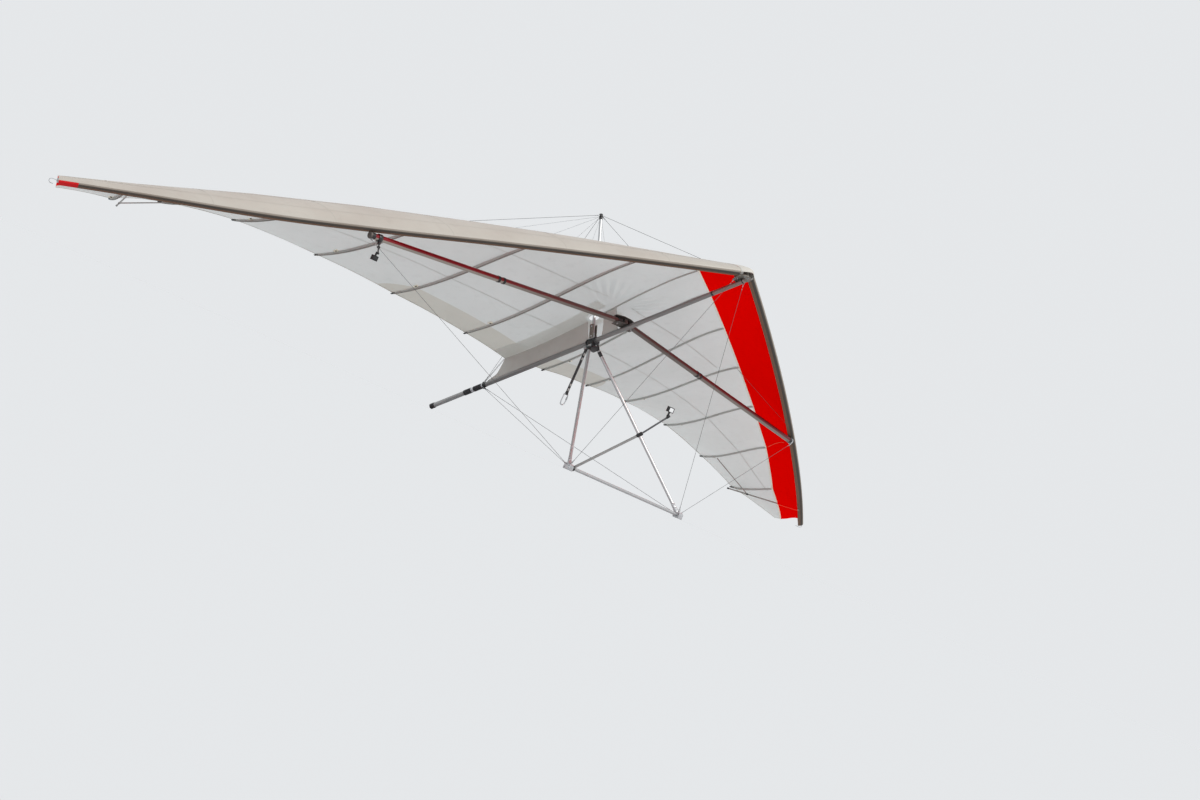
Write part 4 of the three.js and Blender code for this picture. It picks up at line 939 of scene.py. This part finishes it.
BLOCK_OUTLINE = rounded([(-29, -39), (12, -39), (29, -22), (29, 22), (12, 39), (-29, 39)], 5)
for side, sign in SIDES:
    at, leg, out = flipped(CORNER, sign), flipped(down, sign), Y * sign
    s.plate(BLOCK_OUTLINE, 2 * HALF_BLOCK, at - Y * HALF_BLOCK, LEVEL[2], LEVEL[0], bevel=2.5)
    s.lathe(at - leg * 28, -leg, [(0, 20), (38, 20), (44, 18.5), (46, 15.3)], sides=36)
    s.lathe(at + out * 26, out, [(0, 20), (0.9, 20), (0.9, 9), (-18, 9)], sides=32)
    s.make(f"corner_block_{side}", FITTING, f"corner_bracket_{side}")
    for dx, dz in ((26, 14), (-26, -14)):
        for face in (out, -out):
            s.bolt(at + LEVEL[0] * dx + LEVEL[2] * dz + face * 26.6, face, 4.5, height=4)
    s.make(f"corner_bolts_{side}", STEEL)

# Apex bracket: a block under the keel, with the straps that tie it
cheeks = rounded([(-34, 8), (-52, -60), (-52, -84), (52, -84), (52, -60), (34, 8)], 4)
s.plate(np.concatenate([cheeks, 22.4 * arc(20, -200, 19)]), 74, (-37, 0, 0), Y, Z, bevel=2)
s.make("apex_block", BLACK, "apex_bracket")
for y in (-52, 52):
    for x in (-20, 20):
        s.bolt((x, y, -52), Y * y, 5)
s.bolt((37, 0, -52), X)
s.make("apex_bolts", STEEL)
for x in (-46, 46):
    path = [(x, 26.5 * n, 26.5 * c) if c > 0 else (x, 35.775 * n, 34 * c) for c, n in arc(0, 360, 33)]
    s.sweep(path, [(-11, -1.2), (11, -1.2), (11, 1.2), (-11, 1.2)], up=X, ends=False)
s.make("apex_straps", WEBBING)

# Nose and junction plates
def two_sided(half):
    """Outline from its half, which starts and ends on the middle line."""
    return np.roll([*half, *[(x, -y) for x, y in half[-2:0:-1]]], 1, 0)


outline = two_sided([(1788, 0), (1788, 30), (1770, 58), (1746, 86), (1718, 78), (1650, 60), (1648, 0)])
for z in (22.3, 83.3):
    s.plate(outline, 6, Z * z)
s.block((1715, 0, 56), (150, 24, 61), bevel=3)
s.make("nose_plates", NOSE_ALLOY, "nose_bracket")
for x, y in ((1700, 46), (1700, -46), (1762, 24), (1762, -24), (1672, 0)):
    s.bolt((x, y, 22.2), -Z, 5.5)
s.make("nose_bolts", STEEL)
outline = two_sided([(423, 0), (423, 46), (410, 96), (399, 128), (370, 130), (329, 128), (330, 60), (331, 0)])
for z in (24.6, 89.3):
    s.plate(outline, 5, Z * z, bevel=0.7)
s.block((379, 0, 58), (50, 40, 66), bevel=4)
s.block((379, 0, 24.4), (60, 20, 4), bevel=1)
s.make("junction_plates", DARK_PLATE, "cross_tube_junction")
for y in (-98, 98):
    s.bolt((372, y, 24.4), -Z)
    s.bolt((372, y, 94.4), Z)
s.bolt((379, 0, 94.4), Z, 7)
s.make("junction_bolts", STEEL)

# Washout struts
joint = lerp(STRUT_REAR, STRUT_FRONT, 0.28)
run = unit(STRUT_FRONT - STRUT_REAR)
for side, sign in SIDES:
    s.rod(flipped(STRUT_REAR, sign), flipped(STRUT_FRONT, sign), 7, sides=24, bevel=1, steps=4)
    s.rod(flipped((-1471, 3862, 504), sign), flipped(joint, sign), 5, bevel=1)
    s.make(f"washout_tube_{side}", STRUT, f"washout_strut_{side}")
    s.rod(flipped(STRUT_REAR - run * 0.4, sign), flipped(STRUT_REAR + run * 22, sign), 8.6, bevel=1.5)
    s.rod(flipped(joint - run * 13, sign), flipped(joint + run * 13, sign), 9.5, bevel=2)
    s.make(f"washout_caps_{side}", BLACK)

# Ends of the stays
HEAD = KING_TOP + king * 20
NOSE_LOW, REAR_LOW = vec((1690, 62, 25)), vec((-1322, 10, -21.8))
SIDE_LOW = CROSS_END + unit(CROSS_END - CROSS_CENTRE) * 11 - Z * 32.6
SIDE_TOP = lerp(Section(2839).axis, Section(3125).axis, 0.45) + Z * 28.2


def wire_end(at, toward):
    """Thimble, pressed swage and shrink sleeve at one end of a stay."""
    run = unit(toward - at)
    s.rod(at + run * 26, at + run * 48, 3.6, sides=14, bevel=1)
    s.rod(at + run * 62, at + run * 76, 3.0, sides=14, bevel=1)
    side = unit(np.cross(run, (0.2, 0.3, 1)))
    eye = [at + run * (13 + 12 * c) + side * 6.5 * n * (1.15 - 0.35 * c) for c, n in arc(0, 360, 21)]
    s.tube(eye, 2.0, sides=8)


for sign in (1, -1):
    corner, high = flipped(CORNER, sign), flipped(SIDE_TOP, sign)
    for end in (NOSE_LOW, REAR_LOW, SIDE_LOW):
        low = flipped(end, sign)
        wire_end(low, corner)
        wire_end(corner - unit(corner - low) * 34, low)
    wire_end(high, HEAD)
    wire_end(HEAD + unit(high - HEAD) * 18, high)
wire_end(vec((1662, 0, 91.4)), HEAD)
wire_end(vec((-1322, 0, 24.6)), HEAD)
s.make("wire_swages", STEEL)
s.ring((-1334, 0, 0), X, 24, (0, 22.1), (1, 24))
s.block((-1322, 0, 27), (22, 12, 10))
s.block((-1322, 0, -27), (22, 30, 8))
s.make("rear_stay_clamp", BLACK)

# Luff lines from the kingpost head to the trailing edge, and the root tension lines
for sign in (1, -1):
    for y in FRONTS[1:4]:
        end = flipped(Section(y).upper([0.97, 0.985], 0)[-1] + Z, sign)
        s.tube([HEAD - king * 14, end], 0.8, sides=6)
    s.tube([(-1312, sign * 4, 26), (-1052, sign * 5, 187)], 1.5, sides=6)
s.make("luff_lines", WIRE)

# Small steel loop and end plug beyond each wing tip
tip = Section(TIP).axis
for sign in (1, -1):
    path = [tip + (-10 - 60 * f, 66 * math.sin(math.pi * f), 12 * math.sin(2 * math.pi * f))
            for f in np.linspace(0, 1, 25)]
    s.tube(flipped(path, sign), 2.2, sides=8)
    s.lathe(flipped(tip, sign), (-0.45, 0.9 * sign, 0), [(0, 20), (1, 20.8), (7, 20.8), (12, 15), (13, 4)])
s.make("tip_loops", STEEL)

# Camera pole from the right end of the base bar
foot = CORNER * (1, -1, 1) + Y * (HALF_BLOCK + 24)
joint, tip = foot + (765, 0, 77), foot + (1086, 0, 142)
s.ring(foot - Y * 16, Y, 32, (0, 14.4), (0.6, 22), (3, 24), sides=36)
s.rod(foot + unit(joint - foot) * 20, joint, 12, 1, sides=28, bevel=1, steps=6)
s.rod(joint - (34, 0, 4), joint + (22, 0, 3), 17, sides=28, bevel=3)
s.rod(tip + (-26, 0, -5), tip + (8, 0, 1.6), 11, sides=24, bevel=2)
s.rod(tip, tip - Y * 30, 5, bevel=1)
s.block(foot + (-25, 0, 6), (14, 18, 20), bevel=3)
s.make("camera_pole_grip", [BLACK, POLE_ALLOY], "camera_pole")
s.rod(joint + (18, 0, 3.6), tip, 8, sides=28, bevel=1, steps=4)
s.make("camera_pole_tube", DARK_TUBE)

# Wing camera's arm, clamped to the right cross tube
end = flipped(CROSS_END, -1)
inward = unit(flipped(CROSS_CENTRE, -1) - end)
s.ring(end + inward * 70, inward, 40, (0, 27.6), (0.6, 34), (3, 35), sides=36)
arm_top = vec((40, -2917, -74))
arm_foot = arm_top + (-18, 0, -110)
s.rod(arm_top - Z * 2, arm_foot, 7, bevel=1)
s.rod(arm_foot, arm_foot - Y * 26, 4, sides=16, bevel=0.8)
for f, r in ((0.18, 14), (0.5, 12)):
    s.ring(lerp(arm_top, arm_foot, f) - Y * 11, Y, 22, (0, r - 2), (2, r), sides=28)
s.ring(arm_foot - Y * 7.5, Y, 15, (0, 9), (1, 10), sides=24)
s.make("wing_camera_arm", BLACK, "wing_camera_mount")

# Action cameras, and the thickness of their frames' bars
BAR = 5


def action_camera(name, pin, up, case, eye, stalk, lens, look):
    """A small camera in a frame, on an eye of (pin radius, wall, width) that turns on its pin."""
    pin, size = vec(pin), vec(case)
    hole, wide = eye[0] + 0.5, eye[2] / 2
    wall = eye[0] + eye[1]
    spokes = circle(28) @ (X, Z)
    eye_steps = ((-wide, wall), (wide, wall), (wide, hole), (-wide, hole), (-wide, wall))
    s.grid([pin + Y * y + spokes * r for y, r in eye_steps], 1, closed=True)
    middle = pin + up * (eye[0] + stalk)
    low = middle - up * size[2] / 2
    s.block(lerp(pin + up * wall, low, 0.5), (16, 10, np.linalg.norm(low - pin) - wall + 4), 1)
    s.block(middle, size - (6, 5, 5), bevel=5, segments=3)
    for way, section in ((Z, (size[0], size[1], BAR)), (Y, (size[0], BAR, size[2]))):
        for out in (-1, 1):
            s.block(middle + way * out * (way @ size / 2 - BAR / 2), section, 1, bevel=1.6)
    face = middle + (-size[0] / 2 + 2, -size[1] / 6, 0)
    s.lathe(face, -X, [(0, 12), (lens - 1.5, 12), (lens, 10.5), (lens, 9)], 1, 32)
    s.lathe(face, -X, [(lens - 1.3, 9.4), (lens - 0.6, 7), (lens, 3.5), (lens + 0.1, 0.5)], 2, 32)
    window = (1.6, size[1] * 0.28, size[2] * 0.4)
    s.block(middle + (-size[0] / 2 + 2.4, size[1] * 0.25, 0), window, 2, bevel=0.6)
    s.lathe(middle + (2, size[1] * 0.25, size[2] / 2 - 1), Z, [(0, 6), (2, 6), (2.6, 5)], 1, 20)
    s.make(f"{name}_case", [look, BLACK, DARK_LENS], name, body=name)


action_camera("pole_camera", (1812.1, -744, 769.61), Z, (34, 62, 46), (5, 5.4, 12), 52, 10, PALE_PLASTIC)
action_camera("wing_camera", (1.94, -2933, 1025.29), -Z, (32, 58, 44), (4, 4.4, 10), 44, 6, BLACK)

# Hang point: a yoke under the keel, and the end of its pin
YOKE_X = -76
PIN_END = vec((YOKE_X, 21, -47))
s.block((YOKE_X, 0, -24.8), (34, 42, 5), bevel=1.2)
for y in (-18.5, 18.5):
    s.block((YOKE_X, y, -39), (34, 5, 34), bevel=1.6)
s.rod(flipped(PIN_END, -1), PIN_END, 6, sides=24, bevel=0.8)
for sign in (1, -1):
    s.bolt(flipped(PIN_END, sign), Y * sign, 7)
s.make("hang_yoke", STEEL, "hang_bracket")

# Hang strap: a webbing loop round the pin and round the carabiner bar, its two plies sewn together
PIN = vec((-157.02, 0, 1081.03))
LENGTH = 452.0
LOW_PIN = PIN - Z * LENGTH


def webbing_turn(centre, first):
    return centre + 8.2 * arc(first, first + 250, 17) @ (X, Z)


def webbing_ply(out, waves, shares):
    return [PIN + (out * (2.0 + 0.5 * math.sin(waves * f)), 0, -LENGTH * f) for f in shares]


sewn = np.linspace(0.06, 0.94, 22)
path = [*webbing_turn(PIN, -35), *webbing_ply(-1, 9, sewn),
        *webbing_turn(LOW_PIN, 145), *webbing_ply(1, 8, sewn[::-1])]
webbing = [(-14, -1.3), (-13, -1.5), (13, -1.5), (14, -1.3), (14, 1.3), (13, 1.5), (-13, 1.5), (-14, 1.3)]
s.sweep([*path, path[0]], webbing, ends=False)
for f in (0.1, 0.2, 0.78, 0.88):
    for dx in (-4.0, 4.0):
        s.block(PIN + (dx, 0, -LENGTH * f - 10), (0.8, 20, 24), 1, bevel=0.3)
s.make("hang_webbing", [WEBBING, STITCH], "hang_strap", body="hang_strap")

# Carabiner with its gate sleeve
outline = [(-25.5, -11), (-22.5, -3), (-15.5, 0), (15.5, 0), (22.5, -3), (25.5, -11), (25.5, -79),
           (20.5, -97), (10.5, -105), (-13.5, -105), (-22.5, -99), (-25.5, -87), (-25.5, -11)]
s.tube(LOW_PIN + smooth_line(outline, 5) @ (Y, Z), 5.4, ends=False, up=X)
s.rod(LOW_PIN + (0, 25.5, -53), LOW_PIN + (0, 25.5, -23), 7.2, 1, 24, bevel=1.2)
s.make("carabiner_ring", [FITTING, STEEL], "carabiner", body="hang_strap")

# CAD nodes that show as they are: the stays and the battens
for name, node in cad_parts.items():
    look = WIRE if "_wire" in name else STRUT if name.startswith("batten_") else None
    if look:
        node.data.materials[0] = look

# Floor and light
FLOOR_RADIUS, FLOOR_SIDES = 340, 96
mesh = bpy.data.meshes.new("studio_floor")
rim = FLOOR_RADIUS * circle(FLOOR_SIDES) @ (X, Y)
mesh.from_pydata(rim.tolist(), [], [tuple(range(FLOOR_SIDES))])
mesh.materials.append(paint_look("studio_paint", (0.611, 0.623, 0.639)))
add("studio_floor", mesh)

world = bpy.data.worlds.new("studio_world")
world.use_nodes = True
sky = world.node_tree.nodes["Background"]
sky.inputs[0].default_value = (0.90, 0.92, 0.94, 1)
sky.inputs[1].default_value = 1.15
bpy.context.scene.world = world


def sun(name, strength, softness, towards, colour):
    data = bpy.data.lights.new(name, "SUN")
    data.energy, data.angle, data.color = strength, math.radians(softness), colour
    lamp = add(name, data)
    lamp.rotation_mode = "QUATERNION"
    lamp.rotation_quaternion = Vector(towards).to_track_quat("-Z", "Y")


sun("key_light", 2.6, 14, (-0.72, -0.12, -0.85), (1.0, 0.97, 0.92))
sun("fill_light", 0.5, 60, (-0.8, 0.9, -0.25), (0.95, 0.97, 1.0))

view = bpy.context.scene.view_settings
view.view_transform = "Standard"
view.exposure = -0.4
